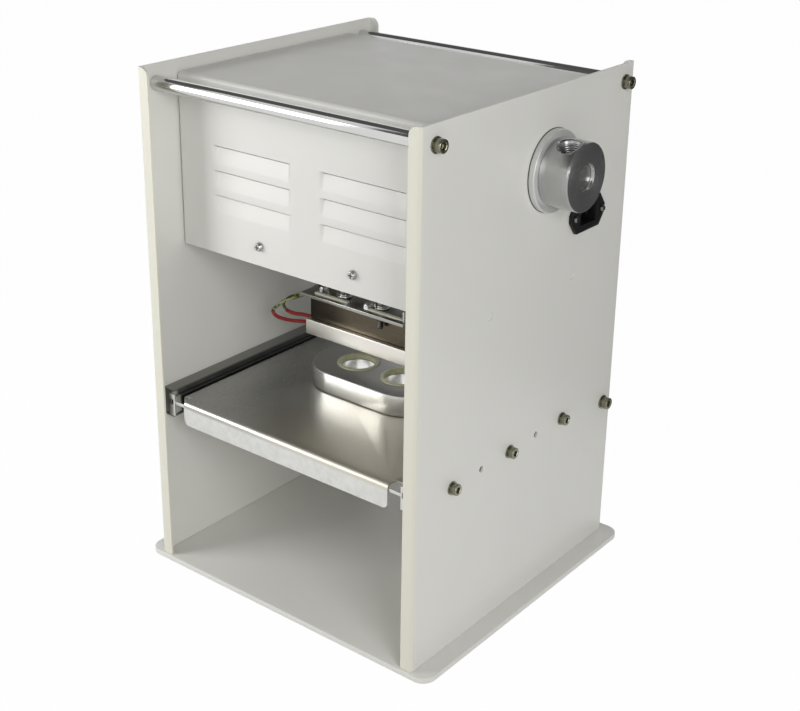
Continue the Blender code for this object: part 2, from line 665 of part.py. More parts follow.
def mechanism_deck(machine):
    folds = {2: DECK_FLANGE, 5: DECK_FLANGE, 8: DECK_FLANGE, 11: DECK_FLANGE}
    deck = folded_sheet("mechanism_deck", deck_outline(), folds, DECK_SHEET, DECK_BEND, machine,
                        "zinc", DECK_BOTTOM)
    deck.modifiers["sheet"].offset = 1.0
    half = RACK_WIDTH / 2 + SLIDE_GAP
    tips = RACK_PITCH_Y + GEAR_MODULE
    combine(deck, box("cut_deck_rack", (-half, RACK_FRONT_Y - SLIDE_GAP, DECK_BOTTOM - 0.004),
                      (half, tips + SLIDE_GAP, DECK_TOP + 0.004), machine))
    for i, x in enumerate((-POST_SPREAD, POST_SPREAD)):
        for k, y in enumerate(POST_Y):
            combine(deck, cylinder(f"cut_deck_post_{i}{k}", POST_DIAMETER / 2 + RUNNING_GAP, -0.004,
                                   0.004, machine, location=(x, y, DECK_TOP)))
    shank = COVER_SCREW["shank"] / 2 + RUNNING_GAP
    for side, x in (("left", -COVER_SCREW_SPREAD), ("right", COVER_SCREW_SPREAD)):
        combine(deck, cylinder(f"cut_deck_screw_{side}", shank, 0, 0.008, machine, rotation=TO_Y,
                               location=(x, COVER_SETBACK - 0.002, COVER_SCREW_Z), steps=16))
    grommet = LEAD_WINDOW
    combine(deck, box("cut_deck_leads", (grommet[0], grommet[1], DECK_BOTTOM - 0.004),
                      (grommet[2], grommet[3], DECK_TOP + 0.004), machine))


def press_body(machine):
    """The casting that guides the rack and carries the pinion's shaft, open at the back."""
    slot = RACK_WIDTH / 2 + SLIDE_GAP
    wall = slot + PRESS_BODY_WALL
    front = RACK_FRONT_Y - SLIDE_GAP
    low = DECK_TOP + GAP
    body = box("press_body", (-wall, front - PRESS_BODY_FRONT_WALL, low),
               (wall, PRESS_BODY_REAR, low + PRESS_BODY_HEIGHT), machine, "aluminium")
    combine(body, box("cut_press_slot", (-slot, front, low - 0.01),
                      (slot, PRESS_BODY_REAR + 0.01, low + PRESS_BODY_HEIGHT + 0.01), machine))
    combine(body, cylinder("cut_press_shaft", SHAFT_DIAMETER / 2 + RUNNING_GAP, -0.05, 0.05, machine,
                           location=(0, SHAFT_Y, SHAFT_Z), rotation=TO_X, steps=32))


def shaft_bearing(machine):
    """The flanged bush that carries the shaft in the right panel."""
    bore = SHAFT_DIAMETER / 2 + RUNNING_GAP
    flange, spigot = BEARING_DIAMETER / 2, BEARING_SPIGOT / 2
    chamfer = 0.001
    top = BEARING_THICKNESS
    profile = [(bore, top), (flange - chamfer, top), (flange, top - chamfer), (flange, 0),
               (spigot, 0), (spigot, -BEARING_SPIGOT_LENGTH), (bore, -BEARING_SPIGOT_LENGTH)]
    turned("shaft_bearing", profile, machine, "aluminium", (PANEL_X + GAP, SHAFT_Y, SHAFT_Z), TO_X,
           steps=40, closed=True)


# ---------------------------------------------------------------- electrics
def inlet_outline():
    """The flange's long hexagon: straight top and bottom, ears tapering to the screws."""
    half_y, half_z = INLET_FLANGE[0] / 2, INLET_FLANGE[1] / 2
    ear = half_z * 0.22
    right = [(INLET_WALL_END, -half_z), (half_y, -ear), (half_y, ear), (INLET_WALL_END, half_z)]
    return right + [(-y, -z) for y, z in right]


def power_inlet(machine):
    """A screw-mounted appliance inlet: flange outside the panel, socket body through it."""
    frame = Matrix(((0, 0, 1), (1, 0, 0), (0, 1, 0))).to_euler()
    holes = [arc((i * INLET_SCREW_SPREAD, 0), INLET_SCREW["shank"] / 2 + RUNNING_GAP, 0, 337.5, 15)
             for i in (-1, 1)]
    origin = (PANEL_X + GAP, INLET_Y, INLET_Z)
    inlet = prism("power_inlet", inlet_outline(), 0, INLET_FLANGE[2], machine, "black_plastic",
                  origin, frame, holes)
    y, z, deep = INLET_BODY[0] / 2, INLET_BODY[1] / 2, INLET_BODY[2]
    combine(inlet, box("add_inlet_body", (-deep, -y, -z), (0.001, y, z), machine, location=origin),
            "UNION")
    y, z, deep = INLET_CAVITY[0] / 2, INLET_CAVITY[1] / 2, INLET_CAVITY[2]
    floor = INLET_FLANGE[2] - deep
    combine(inlet, box("cut_inlet_cavity", (floor, -y, -z), (0.01, y, z), machine, location=origin))
    for i in (-1, 0, 1):
        rise = 0.0015 if i == 0 else -0.0015
        y, z = INLET_PIN[0] / 2, INLET_PIN[1] / 2
        centre = i * INLET_PIN_SPREAD
        pin = box(f"add_inlet_pin_{i + 1}", (floor - 0.001, centre - y, rise - z),
                  (floor + INLET_PIN[2], centre + y, rise + z), machine, location=origin)
        combine(inlet, pin, "UNION")
        if i:
            side = "front" if i < 0 else "rear"
            place_y = INLET_Y + i * INLET_SCREW_SPREAD
            screw(f"inlet_screw_{side}", INLET_SCREW, INLET_FLANGE[2] + PANEL_SHEET + 0.002, machine,
                  "zinc", (PANEL_X + INLET_FLANGE[2] + 2 * GAP, place_y, INLET_Z), TO_X)


def main_switch(machine):
    origin = (SWITCH_X, COVER_REAR + GAP, SWITCH_Z)
    x, z, thick = SWITCH_BEZEL[0] / 2, SWITCH_BEZEL[1] / 2, SWITCH_BEZEL[2]
    switch = box("switch_body", (-x, 0, -z), (x, thick, z), machine, "black_plastic", location=origin)
    x, z, deep = SWITCH_BODY[0] / 2, SWITCH_BODY[1] / 2, SWITCH_BODY[2]
    combine(switch, box("add_switch_body", (-x, -deep, -z), (x, 0.001, z), machine, location=origin),
            "UNION")
    x, z, deep = SWITCH_MOUTH[0] / 2, SWITCH_MOUTH[1] / 2, SWITCH_MOUTH[2]
    combine(switch, box("cut_switch_mouth", (-x, thick - deep, -z), (x, 0.01, z), machine,
                        location=origin))
    axis = empty("switch_axis", (SWITCH_X, COVER_REAR + GAP, SWITCH_Z), machine, (0, 0, ROCKER_TILT))
    half_x, half_z, deep = ROCKER_SIZE[0] / 2, ROCKER_SIZE[1] / 2, ROCKER_SIZE[2]
    face = [(half_x, -0.001), (half_x, 0.0035), (0, 0.002), (-half_x, 0.0035), (-half_x, -0.001),
            (-half_x / 3, 0.001 - deep / 2), (half_x / 3, 0.001 - deep / 2)]
    prism("switch_rocker", face, -half_z, half_z, axis, "black_plastic")


def thermostat(machine):
    radius, bush = THERMOSTAT_DIAMETER / 2, THERMOSTAT_BUSH / 2
    inner = -COVER_SHEET - GAP
    nose = 0.0035
    profile = [(0, nose), (bush, nose), (bush, inner), (radius, inner),
               (radius, inner - THERMOSTAT_DEPTH), (0, inner - THERMOSTAT_DEPTH)]
    origin = (THERMOSTAT_X, COVER_REAR, THERMOSTAT_Z)
    turned("thermostat_body", profile, machine, "zinc", origin, TO_Y, steps=28)
    radius = KNOB_DIAMETER / 2
    seat = 0.0008
    hollow = nose + GAP
    profile = [(0, seat + KNOB_HEIGHT), (radius * 0.72, seat + KNOB_HEIGHT),
               (radius * 0.80, seat + KNOB_HEIGHT - 0.0015), (radius * 0.84, seat + 0.003),
               (radius, seat + 0.0015), (radius, seat), (bush + 2 * GAP, seat),
               (bush + 2 * GAP, hollow), (0, hollow)]
    knob = turned("thermostat_knob", profile, machine, "black_plastic", origin, TO_Y, steps=28)
    combine(knob, box("cut_knob_pointer", (-0.0006, radius * 0.3, seat + KNOB_HEIGHT - 0.0008),
                      (0.0006, radius, seat + KNOB_HEIGHT + 0.002), machine, location=origin,
                      rotation=TO_Y))


# ---------------------------------------------------------------- lever, shaft and pinion
def lever_hub(lever):
    """The hub on the shaft's end. Local +Z of the lever's empty is the socket's direction."""
    start, end = PANEL_X + HUB_START, PANEL_X + HUB_END
    disc = end - HUB_DISC_THICKNESS
    barrel, rim, bore = HUB_DIAMETER / 2, HUB_DISC_DIAMETER / 2, SHAFT_DIAMETER / 2 + RUNNING_GAP
    recess, chamfer = HUB_RECESS / 2, 0.0006
    profile = [(bore, end - HUB_RECESS_DEPTH), (recess, end - HUB_RECESS_DEPTH + 0.0003),
               (recess, end), (rim - chamfer, end), (rim, end - chamfer), (rim, disc),
               (barrel, disc), (barrel, start), (bore, start)]
    hub = turned("lever_hub", profile, lever, "aluminium", rotation=TO_X, steps=48, closed=True)
    far = HUB_DIAMETER
    combine(hub, box("cut_hub_flat", (start - 0.001, -far, SOCKET_FLAT), (disc, far, far), lever))
    radius = SOCKET_DIAMETER / 2
    mouth = SOCKET_FLAT - SOCKET_CHAMFER
    profile = [(0, far), (radius + SOCKET_CHAMFER + 0.002, far),
               (radius + SOCKET_CHAMFER + 0.002, SOCKET_FLAT + 0.002), (radius, mouth),
               (radius, SOCKET_FLOOR), (0, SOCKET_FLOOR)]
    socket = turned("cut_hub_socket", profile, lever, location=(PANEL_X + SOCKET_X, 0, 0), steps=28)
    combine(hub, socket)


def pinion_shaft(lever):
    radius, end, chamfer = SHAFT_DIAMETER / 2, PANEL_X + HUB_END - SHAFT_END_DEPTH, 0.0008
    profile = [(0, end), (radius - chamfer, end), (radius, end - chamfer), (radius, -SHAFT_LEFT_END),
               (0, -SHAFT_LEFT_END)]
    turned("pinion_shaft", profile, lever, "bright_steel", rotation=TO_X, steps=32)


def involute(angle):
    return math.tan(angle) - angle


def gear_outline(teeth, module):
    """Involute teeth, with a tooth centred on local +X and the backlash taken off each flank."""
    pitch = teeth * module / 2
    base, root, tip = pitch * math.cos(PRESSURE_ANGLE), pitch - 1.25 * module, pitch + module
    half_pitch = math.pi / (2 * teeth) - BACKLASH / (4 * pitch)
    radii = [base + (tip - base) * i / 3 for i in range(4)]
    halves = [half_pitch + involute(PRESSURE_ANGLE) - involute(math.acos(base / r)) for r in radii]
    flank = [(root, halves[0]), *zip(radii, halves)]
    outline = []
    for i in range(teeth):
        centre = 2 * math.pi * i / teeth
        outline += [(r * math.cos(centre - h), r * math.sin(centre - h)) for r, h in flank]
        outline += [(r * math.cos(centre + h), r * math.sin(centre + h)) for r, h in reversed(flank)]
    return outline


def pinion_gear(lever):
    """Its tooth gap faces the rack: towards -Y, half a tooth from a tooth's centre."""
    frame = Matrix(((0, 0, 1), (1, 0, 0), (0, 1, 0))).to_4x4()
    phase = math.pi - math.pi / PINION_TEETH
    turn = Matrix.Rotation(phase - SOCKET_TILT, 4, "X")
    bore = arc((0, 0), SHAFT_DIAMETER / 2 + RUNNING_GAP, 0, 348.75, 31)
    half = PINION_WIDTH / 2
    prism("pinion_gear", gear_outline(PINION_TEETH, GEAR_MODULE), -half, half, lever, "brushed_steel",
          rotation=(turn @ frame).to_euler(), holes=(bore,))


# ---------------------------------------------------------------- press head
def rack_outline():
    """Side view in machine Y and Z: a bar with straight-flanked teeth on its rear face."""
    root, tip = RACK_ROOT_Y, RACK_PITCH_Y + GEAR_MODULE
    slope = math.tan(PRESSURE_ANGLE)
    half_root = TOOTH_PITCH / 4 + 1.25 * GEAR_MODULE * slope - BACKLASH / 4
    half_tip = TOOTH_PITCH / 4 - GEAR_MODULE * slope - BACKLASH / 4
    top = SHAFT_Z + (RACK_TEETH_ABOVE + 0.6) * TOOTH_PITCH
    outline = [(RACK_FRONT_Y, HEAD_STAND), (root, HEAD_STAND)]
    for i in range(-RACK_TEETH_BELOW, RACK_TEETH_ABOVE + 1):
        z = SHAFT_Z + i * TOOTH_PITCH
        outline += [(root, z - half_root), (tip, z - half_tip), (tip, z + half_tip),
                    (root, z + half_root)]
    return outline + [(root, top), (RACK_FRONT_Y, top)]


def ram_rack(head):
    frame = Matrix(((0, 0, 1), (1, 0, 0), (0, 1, 0))).to_euler()
    half = RACK_WIDTH / 2
    prism("ram_rack", rack_outline(), -half, half, head, "brushed_steel", rotation=frame)


def head_plates(head):
    x, y = HEATER_BLOCK[0] / 2, HEATER_BLOCK[1] / 2
    box("heater_block", (-x, STATION_Y - y, HEATER_BOTTOM),
        (x, STATION_Y + y, HEATER_BOTTOM + HEATER_BLOCK[2]), head, "tinted_steel", 0.0004)
    x, y = SEAL_PLATE[0] / 2, SEAL_PLATE[1] / 2
    plate = box("sealing_plate", (-x, STATION_Y - y, SEAL_BOTTOM),
                (x, STATION_Y + y, SEAL_BOTTOM + SEAL_PLATE[2]), head, "aluminium", 0.0004)
    place = (-x, STATION_Y - CARTRIDGE_FORWARD, SEAL_BOTTOM + SEAL_PLATE[2] / 2)
    bore = CARTRIDGE_DIAMETER / 2 + RUNNING_GAP
    combine(plate, cylinder("cut_cartridge", bore, -0.01, CARTRIDGE_LENGTH + 0.002, head,
                            location=place, rotation=TO_X))
    cylinder("cartridge_heater", CARTRIDGE_DIAMETER / 2, 0.0, CARTRIDGE_LENGTH, head, "zinc",
             place, TO_X)
    x, front = HEAD_PLATE[0] / 2, STATION_Y - HEAD_PLATE_FRONT
    box("head_top_plate", (-x, front, HEAD_PLATE_BOTTOM), (x, front + HEAD_PLATE[1], HEAD_PLATE_TOP),
        head, "bright_steel", 0.0003)


def guide_posts(head):
    """Four posts on the head that slide through the deck; the rear two carry the return springs."""
    radius, collar = POST_DIAMETER / 2, POST_COLLAR / 2
    top = HEAD_STAND + POST_LENGTH
    seat = top - POST_COLLAR_DROP
    base = seat - POST_COLLAR_HEIGHT
    foot = 0.0012
    profile = [(0, top), (radius - foot, top), (radius, top - foot), (radius, seat), (collar, seat),
               (collar, base), (radius, base), (radius, HEAD_STAND + foot),
               (radius - foot, HEAD_STAND), (0, HEAD_STAND)]
    for side, x in (("left", -POST_SPREAD), ("right", POST_SPREAD)):
        for row, y in zip(("front", "rear"), POST_Y):
            turned(f"guide_post_{row}_{side}", profile, head, "bright_steel", (x, y, 0))
        return_spring(head, side, x, base)


def return_spring(head, side, x, collar_base):
    """A compression spring round a rear post, from the deck to the post's collar."""
    radius = SPRING_WIRE / 2
    low, high = DECK_TOP + GAP + radius, collar_base - GAP - radius
    per_turn = 10
    count = SPRING_TURNS * per_turn
    points = []
    for i in range(count + 1):
        share = i / count
        # closed end coils: the first and last turn rise a quarter as fast as the others
        rise = min(share, 0.03) * 0.25 + min(max(share - 0.03, 0), 0.94) + max(share - 0.97, 0) * 0.25
        angle = 2 * math.pi * i / per_turn
        ring = SPRING_DIAMETER / 2
        height = low + (high - low) * rise / (0.94 + 0.06 * 0.25)
        points.append((ring * math.cos(angle), ring * math.sin(angle), height))
    tube(f"return_spring_{side}", points, SPRING_WIRE, head, "spring_steel", (x, POST_Y[1], 0))


# the window in the deck where the heater's leads go up, as x and y limits
LEAD_WINDOW = (-0.052, STATION_Y - 0.014, -0.034, STATION_Y + 0.016)
LEAD_TOP = DECK_TOP + 0.045


def leads(head):
    """Two heater leads that loop out on the left, and a thermocouple; all go up inside."""
    side = -SEAL_PLATE[0] / 2
    y = STATION_Y - CARTRIDGE_FORWARD
    z = SEAL_BOTTOM + SEAL_PLATE[2] / 2
    over, under = HEAD_PLATE_TOP, DECK_BOTTOM
    lower = [(-GAP, 0, -0.0032), (-0.015, 0.0008, -0.0045), (-0.0315, 0.001, -0.0078),
             (-0.0455, 0, -0.0078), (-0.050, -0.0010, -0.0030), (-0.0445, -0.0015, 0.0030),
             (-0.035, -0.0005, 0.0105), (-0.018, 0.003, 0.0185), (-0.0065, 0.006, 0.027)]
    upper = [(-GAP, 0, 0.0032), (-0.014, 0.0008, 0.0021), (-0.027, 0.001, 0.0002),
             (-0.0365, 0.0014, 0.0012), (-0.0398, 0.0024, 0.0062), (-0.034, 0.0045, 0.0125),
             (-0.0185, 0.0068, 0.0205), (-0.0068, 0.0095, 0.0285)]
    for name, loop, back, inward in (("lower", lower, 0.007, 0.0095), ("upper", upper, 0.0105, 0.011)):
        points = [(side + dx, y + dy, z + dz) for dx, dy, dz in loop]
        points += [(side - 0.003, y + back, over + 0.001), (side + 0.001, y + back + 0.002, over + 0.010),
                   (side + inward, y + back + 0.003, under - 0.006),
                   (side + inward, y + back + 0.003, DECK_TOP + 0.006),
                   (side + inward, y + back + 0.003, LEAD_TOP)]
        tube(f"heater_lead_{name}", smooth_route(points, 0.0045), LEAD_DIAMETER, head, "red_lead")
    side = -HEATER_BLOCK[0] / 2
    y += 0.0135
    z = HEATER_BOTTOM + 0.0087
    points = [(side - GAP, y, z), (side - 0.006, y, z + 0.0005), (side - 0.0098, y, z + 0.004),
              (side - 0.0095, y, z + 0.0105), (side - 0.006, y + 0.0005, over + 0.001),
              (side + 0.001, y + 0.002, over + 0.010), (side + 0.010, y + 0.0035, under - 0.006),
              (side + 0.010, y + 0.0035, DECK_TOP + 0.006), (side + 0.010, y + 0.0035, LEAD_TOP)]
    tube("thermocouple_lead", smooth_route(points, 0.0045), COUPLE_DIAMETER, head, "braid")


# ---------------------------------------------------------------- sliding tray
def tray_sheet(tray):
    """A sheet folded down at the front and sides, with a hole under each cup."""
    front, rear = TRAY_SETBACK, TRAY_SETBACK + TRAY_DEPTH
    lip, start = TRAY_LIP_WIDTH / 2, TRAY_SETBACK + TRAY_SKIRT_START
    outline = [(-TRAY_X, front), (-lip, front), (lip, front), (TRAY_X, front), (TRAY_X, start),
               (TRAY_X, rear), (-TRAY_X, rear), (-TRAY_X, start)]
    folds = {1: -TRAY_LIP, 4: -TRAY_SKIRT, 6: -TRAY_SKIRT}
    sheet = folded_sheet("tray_sheet", outline, folds, TRAY_SHEET, TRAY_BEND, tray, "brushed_steel",
                         TRAY_TOP)
    for i, x in enumerate(STATIONS):
        combine(sheet, cylinder(f"cut_tray_{i}", TRAY_HOLE / 2, -0.01, 0.01, tray,
                                location=(x, STATION_Y, TRAY_TOP), steps=32))


def capsule_mould(tray):
    """A block with round ends and two stepped bores, each holding a ring."""
    end, half = MOULD_LENGTH / 2 - MOULD_WIDTH / 2, MOULD_WIDTH / 2
    outline = arc((end, 0), half, -90, 90, 16) + arc((-end, 0), half, 90, 270, 16)
    low = TRAY_TOP + GAP
    mould = prism("capsule_mould", outline, low, MOULD_TOP, tray, "aluminium", (0, STATION_Y, 0))
    seat = MOULD_TOP - (RING_HEIGHT - RING_PROUD) - GAP
    for i, x in enumerate(STATIONS):
        bore, ring = RING_INNER / 2, RING_OUTER / 2 + GAP
        profile = [(0, MOULD_TOP + 0.01), (ring, MOULD_TOP + 0.01), (ring, seat), (bore, seat),
                   (bore, low - 0.01), (0, low - 0.01)]
        combine(mould, turned(f"cut_mould_{i}", profile, tray, location=(x, STATION_Y, 0), steps=32))
        high = RING_TOP
        round_edge = 0.0008
        outer, inner = RING_OUTER / 2, RING_INNER / 2
        profile = [(inner, high - round_edge), (inner + round_edge, high), (outer - round_edge, high),
                   (outer, high - round_edge), (outer, high - RING_HEIGHT),
                   (inner, high - RING_HEIGHT)]
        turned(f"silicone_ring_{('left', 'right')[i]}", profile, tray, "silicone",
               (x, STATION_Y, 0), steps=32, closed=True)


def inner_rails(tray):
    """Each runs in its outer rail: a tall flange inside the channel, a lower body out of its mouth."""
    flange_half, body_half = RAIL_HEIGHT / 2 - RAIL_SHEET - SLIDE_GAP, INNER_RAIL_BODY / 2
    flange_x = PANEL_X - PANEL_FLANGE - SLIDE_GAP
    step = flange_x - INNER_RAIL_FLANGE
    inner = INNER_RAIL_X
    for side, sign in (("left", -1), ("right", 1)):
        section = [(flange_x, -flange_half), (flange_x, flange_half), (step, flange_half),
                   (step, body_half), (inner, body_half), (inner, -body_half), (step, -body_half),
                   (step, -flange_half)]
        section = [(sign * x, z) for x, z in section]
        prism(f"inner_rail_{side}", section, -INNER_RAIL_LENGTH, 0, tray, "zinc",
              (0, RAIL_SETBACK, RAIL_CENTRE), TO_MINUS_Y)


# ---------------------------------------------------------------- the machine
def build():
    machine = empty("machine", WORLD_SHIFT)
    lever = empty("lever_axis", (0, SHAFT_Y, SHAFT_Z), machine, (SOCKET_TILT, 0, 0))
    head = empty("press_head", (0, 0, 0), machine)
    tray = empty("tray", (0, 0, 0), machine)
    base_plate(machine)
    feet(machine)
    panels(machine)
    tie_rods(machine)
    housing_cover(machine)
    mechanism_deck(machine)
    press_body(machine)
    shaft_bearing(machine)
    power_inlet(machine)
    main_switch(machine)
    thermostat(machine)
    lever_hub(lever)
    pinion_shaft(lever)
    pinion_gear(lever)
    ram_rack(head)
    head_plates(head)
    guide_posts(head)
    leads(head)
    tray_sheet(tray)
    capsule_mould(tray)
    inner_rails(tray)


clear_scene()
PARTS = new_collection("cup_sealing_machine")
CUTTERS = new_collection("cutters", hidden=True)
build()
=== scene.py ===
"""Finishes for a bench cup sealing machine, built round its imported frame."""

import json
import math

import bmesh
import bpy
from bpy.props import FloatProperty, FloatVectorProperty, PointerProperty
from mathutils import Matrix, Vector


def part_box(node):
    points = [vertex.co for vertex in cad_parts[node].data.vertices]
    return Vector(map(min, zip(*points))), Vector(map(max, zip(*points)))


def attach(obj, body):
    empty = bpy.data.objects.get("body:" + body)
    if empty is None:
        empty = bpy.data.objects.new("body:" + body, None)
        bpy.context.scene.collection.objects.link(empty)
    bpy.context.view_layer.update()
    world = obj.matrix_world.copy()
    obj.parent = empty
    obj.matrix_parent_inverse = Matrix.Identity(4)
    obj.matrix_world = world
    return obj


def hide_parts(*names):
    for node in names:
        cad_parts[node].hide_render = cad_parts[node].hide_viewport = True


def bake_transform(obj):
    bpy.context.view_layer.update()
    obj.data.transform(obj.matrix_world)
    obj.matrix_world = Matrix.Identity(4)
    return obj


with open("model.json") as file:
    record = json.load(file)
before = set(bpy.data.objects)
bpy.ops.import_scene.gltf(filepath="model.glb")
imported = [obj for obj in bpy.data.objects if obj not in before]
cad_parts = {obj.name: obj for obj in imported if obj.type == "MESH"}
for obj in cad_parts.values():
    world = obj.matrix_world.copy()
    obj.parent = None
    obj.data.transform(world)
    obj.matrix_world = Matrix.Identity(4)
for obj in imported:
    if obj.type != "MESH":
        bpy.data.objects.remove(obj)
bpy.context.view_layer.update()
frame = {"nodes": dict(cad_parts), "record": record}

bl_info = {
    "name": "Cup sealing machine",
    "version": (1, 0, 0),
    "blender": (4, 5, 0),
    "location": "3D View > Sidebar > Sealer",
    "description": "Detailed pieces and finishes for a bench cup sealing machine",
    "category": "Object",
}

JOINTS = {joint["name"]: joint for joint in frame["record"]["behaviour"]["joints"]}
HUB_AXIS = Vector(JOINTS["lever_turn"]["pos_m"])
LEVER_SEAT = next(m for m in frame["record"]["mounts"] if m["name"] == "lever_seat")
SIDES = (("left", -1), ("right", 1))


# ---------------------------------------------------------------- sizes and colours
def colour_property(name, description, default):
    return FloatVectorProperty(name=name, description=description, default=default,
                               subtype="COLOR", size=3, min=0.0, max=1.0)


def length_property(name, description, default):
    return FloatProperty(name=name, description=description, default=default, min=0.0,
                         subtype="DISTANCE", unit="LENGTH", precision=5)


class SealerColours(bpy.types.PropertyGroup):
    """The colours of the machine's finishes."""

    paint: colour_property("Panel paint", "Coat on the side panels and the base",
                           (0.80, 0.795, 0.755))
    edge_paint: colour_property("Aged paint", "Coat on the panels' front flanges",
                                (0.80, 0.785, 0.68))
    cover_paint: colour_property("Cover paint", "Coat on the housing cover",
                                 (0.80, 0.795, 0.76))
    aluminium: colour_property("Aluminium", "Machined aluminium pieces", (0.80, 0.80, 0.80))
    mould: colour_property("Mould", "The cup mould's aluminium", (0.86, 0.86, 0.85))
    hub: colour_property("Hub", "The lever hub's aluminium", (0.50, 0.505, 0.50))
    steel: colour_property("Steel", "Ground and polished steel", (0.66, 0.66, 0.65))
    sheet_steel: colour_property("Sheet steel", "Tray and slides", (0.50, 0.50, 0.48))
    heated_steel: colour_property("Heated steel", "Block tinted by its heat", (0.098, 0.082, 0.060))
    silicone: colour_property("Silicone", "Seal rings", (0.74, 0.75, 0.52))
    red_sleeve: colour_property("Red sleeve", "Heater lead sleeves", (0.33, 0.016, 0.016))


class SealerSizes(bpy.types.PropertyGroup):
    """The small sizes that the frame leaves open."""

    edge: length_property("Edge", "Broken edge on sheet metal", 0.00035)
    panel_sheet: length_property("Panel sheet", "Thickness of the side panels", 0.002)
    panel_bend: length_property("Panel bend", "Outside radius of the panels' bends", 0.0026)
    cover_sheet: length_property("Cover sheet", "Thickness of the housing cover", 0.0015)
    louvre_depth: length_property("Louvre depth", "How far a louvre is pressed in", 0.0028)
    thread_pitch: length_property("Thread pitch", "Pitch of the lever socket's thread", 0.002)
    spring_wire: length_property("Spring wire", "Thickness of the return springs' wire", 0.0015)
    lead: length_property("Lead", "Thickness of a heater lead's sleeve", 0.0026)
    couple: length_property("Thermocouple", "Thickness of the thermocouple's braid", 0.0022)


class SealerStage(bpy.types.PropertyGroup):
    """The camera and the lamps."""

    lens: FloatProperty(name="Lens", description="Focal length in millimetres", default=63.6,
                        min=10.0)
    horizon: FloatProperty(name="Horizon light", description="Strength of the light from all round",
                           default=0.50, min=0.0)
    zenith: FloatProperty(name="Ceiling light", description="Strength of the light from above",
                          default=0.15, min=0.0)
    key: FloatProperty(name="Key lamp", description="Power of the lamp ahead on the left",
                       default=4.6, min=0.0, unit="POWER")
    side: FloatProperty(name="Side lamp", description="Power of the lamp on the right",
                        default=11.0, min=0.0, unit="POWER")
    floor: FloatProperty(name="Floor tone", description="Tone of the floor seen directly",
                         default=1.0, min=0.0, max=1.0)


# ---------------------------------------------------------------- procedural finishes
class Finish:
    """A material under a Principled shader, with short calls to add the nodes that vary it."""

    def __init__(self, name, colour, roughness, metallic=0.0, **sockets):
        self.material = bpy.data.materials.new(name)
        self.material.use_nodes = True
        self.tree = self.material.node_tree
        self.shader = self.tree.nodes["Principled BSDF"]
        self.colour = colour
        self.put(self.shader, Base_Color=(*colour, 1.0), Roughness=roughness, Metallic=metallic,
                 **sockets)

    def put(self, node, **inputs):
        for label, value in inputs.items():
            socket = node.inputs[label.replace("_", " ")]
            if isinstance(value, bpy.types.NodeSocket):
                self.tree.links.new(value, socket)
            else:
                socket.default_value = value
        return node

    def add(self, kind, settings=None, **inputs):
        node = self.tree.nodes.new("ShaderNode" + kind)
        for key, value in (settings or {}).items():
            setattr(node, key, value)
        return self.put(node, **inputs)

    def position(self, stretch=(1, 1, 1)):
        coordinates = self.add("TexCoord")
        return self.add("Mapping", Vector=coordinates.outputs["Object"],
                        Scale=stretch).outputs["Vector"]

    def grain(self, scale, stretch=(1, 1, 1), detail=3.0):
        """Noise with scale features to a metre, drawn out along an axis by a small stretch."""
        return self.add("TexNoise", Vector=self.position(stretch), Scale=scale,
                        Detail=detail).outputs["Fac"]

    def spread(self, factor, low, high, start=0.3, end=0.7):
        node = self.add("MapRange", Value=factor, From_Min=start, From_Max=end, To_Min=low,
                        To_Max=high)
        return node.outputs["Result"]

    def along(self, axis, start, end):
        """0 to 1 from one place to another along an axis of the frame."""
        parts = self.add("SeparateXYZ", Vector=self.position())
        return self.spread(parts.outputs[axis], 0.0, 1.0, start, end)

    def blend(self, factor, first, second):
        """A colour between two colours, each a tuple or another node's output."""
        node = self.add("Mix", {"data_type": "RGBA"})
        ports = [s for s in node.inputs if s.type == "RGBA"]
        self.put(node, Factor=factor)
        for port, value in zip(ports, (first, second)):
            if isinstance(value, bpy.types.NodeSocket):
                self.tree.links.new(value, port)
            else:
                port.default_value = (*value, 1.0)
        return next(s for s in node.outputs if s.type == "RGBA")

    def shades(self, factor, darker, lighter=1.0):
        return self.blend(factor, [c * darker for c in self.colour],
                          [min(1.0, c * lighter) for c in self.colour])

    def total(self, first, second):
        node = self.add("Math", {"operation": "ADD"})
        self.tree.links.new(first, node.inputs[0])
        self.tree.links.new(second, node.inputs[1])
        return node.outputs[0]

    def vary(self, colour=None, roughness=None, height=None, depth=0.0001, strength=0.4):
        if colour is not None:
            self.put(self.shader, Base_Color=colour)
        if roughness is not None:
            self.put(self.shader, Roughness=roughness)
        if height is not None:
            bump = self.add("Bump", Height=height, Distance=depth, Strength=strength)
            self.put(self.shader, Normal=bump.outputs["Normal"])
        return self.material


def powder_coat(name, colour, aged=None, front=0.0):
    """Sprayed and baked paint with orange peel, yellowed at the front where aged is given."""
    finish = Finish(name, colour, 0.42, Coat_Weight=0.15, Coat_Roughness=0.25)
    tone = finish.shades(finish.grain(7), 0.965, 1.01)
    if aged is not None:
        tone = finish.blend(finish.along("Y", front + 0.006, front + 0.0005), tone, aged)
    return finish.vary(tone, finish.spread(finish.grain(45), 0.36, 0.46),
                       finish.grain(650, detail=1.5), 0.00006, 0.35)


def brushed(name, colour, stretch, low, high, scale=900, anisotropic=0.0, depth=0.00002):
    """Metal with fine lines drawn out along the axis whose stretch is smallest."""
    finish = Finish(name, colour, low, 1.0, Anisotropic=anisotropic)
    lines = finish.grain(scale, stretch, 4.0)
    cloud = finish.grain(28)
    rough = finish.total(finish.spread(lines, low, (low + high) / 2),
                         finish.spread(cloud, 0.0, (high - low) / 2))
    return finish.vary(finish.shades(cloud, 0.9, 1.05), rough, lines, depth, 0.5)


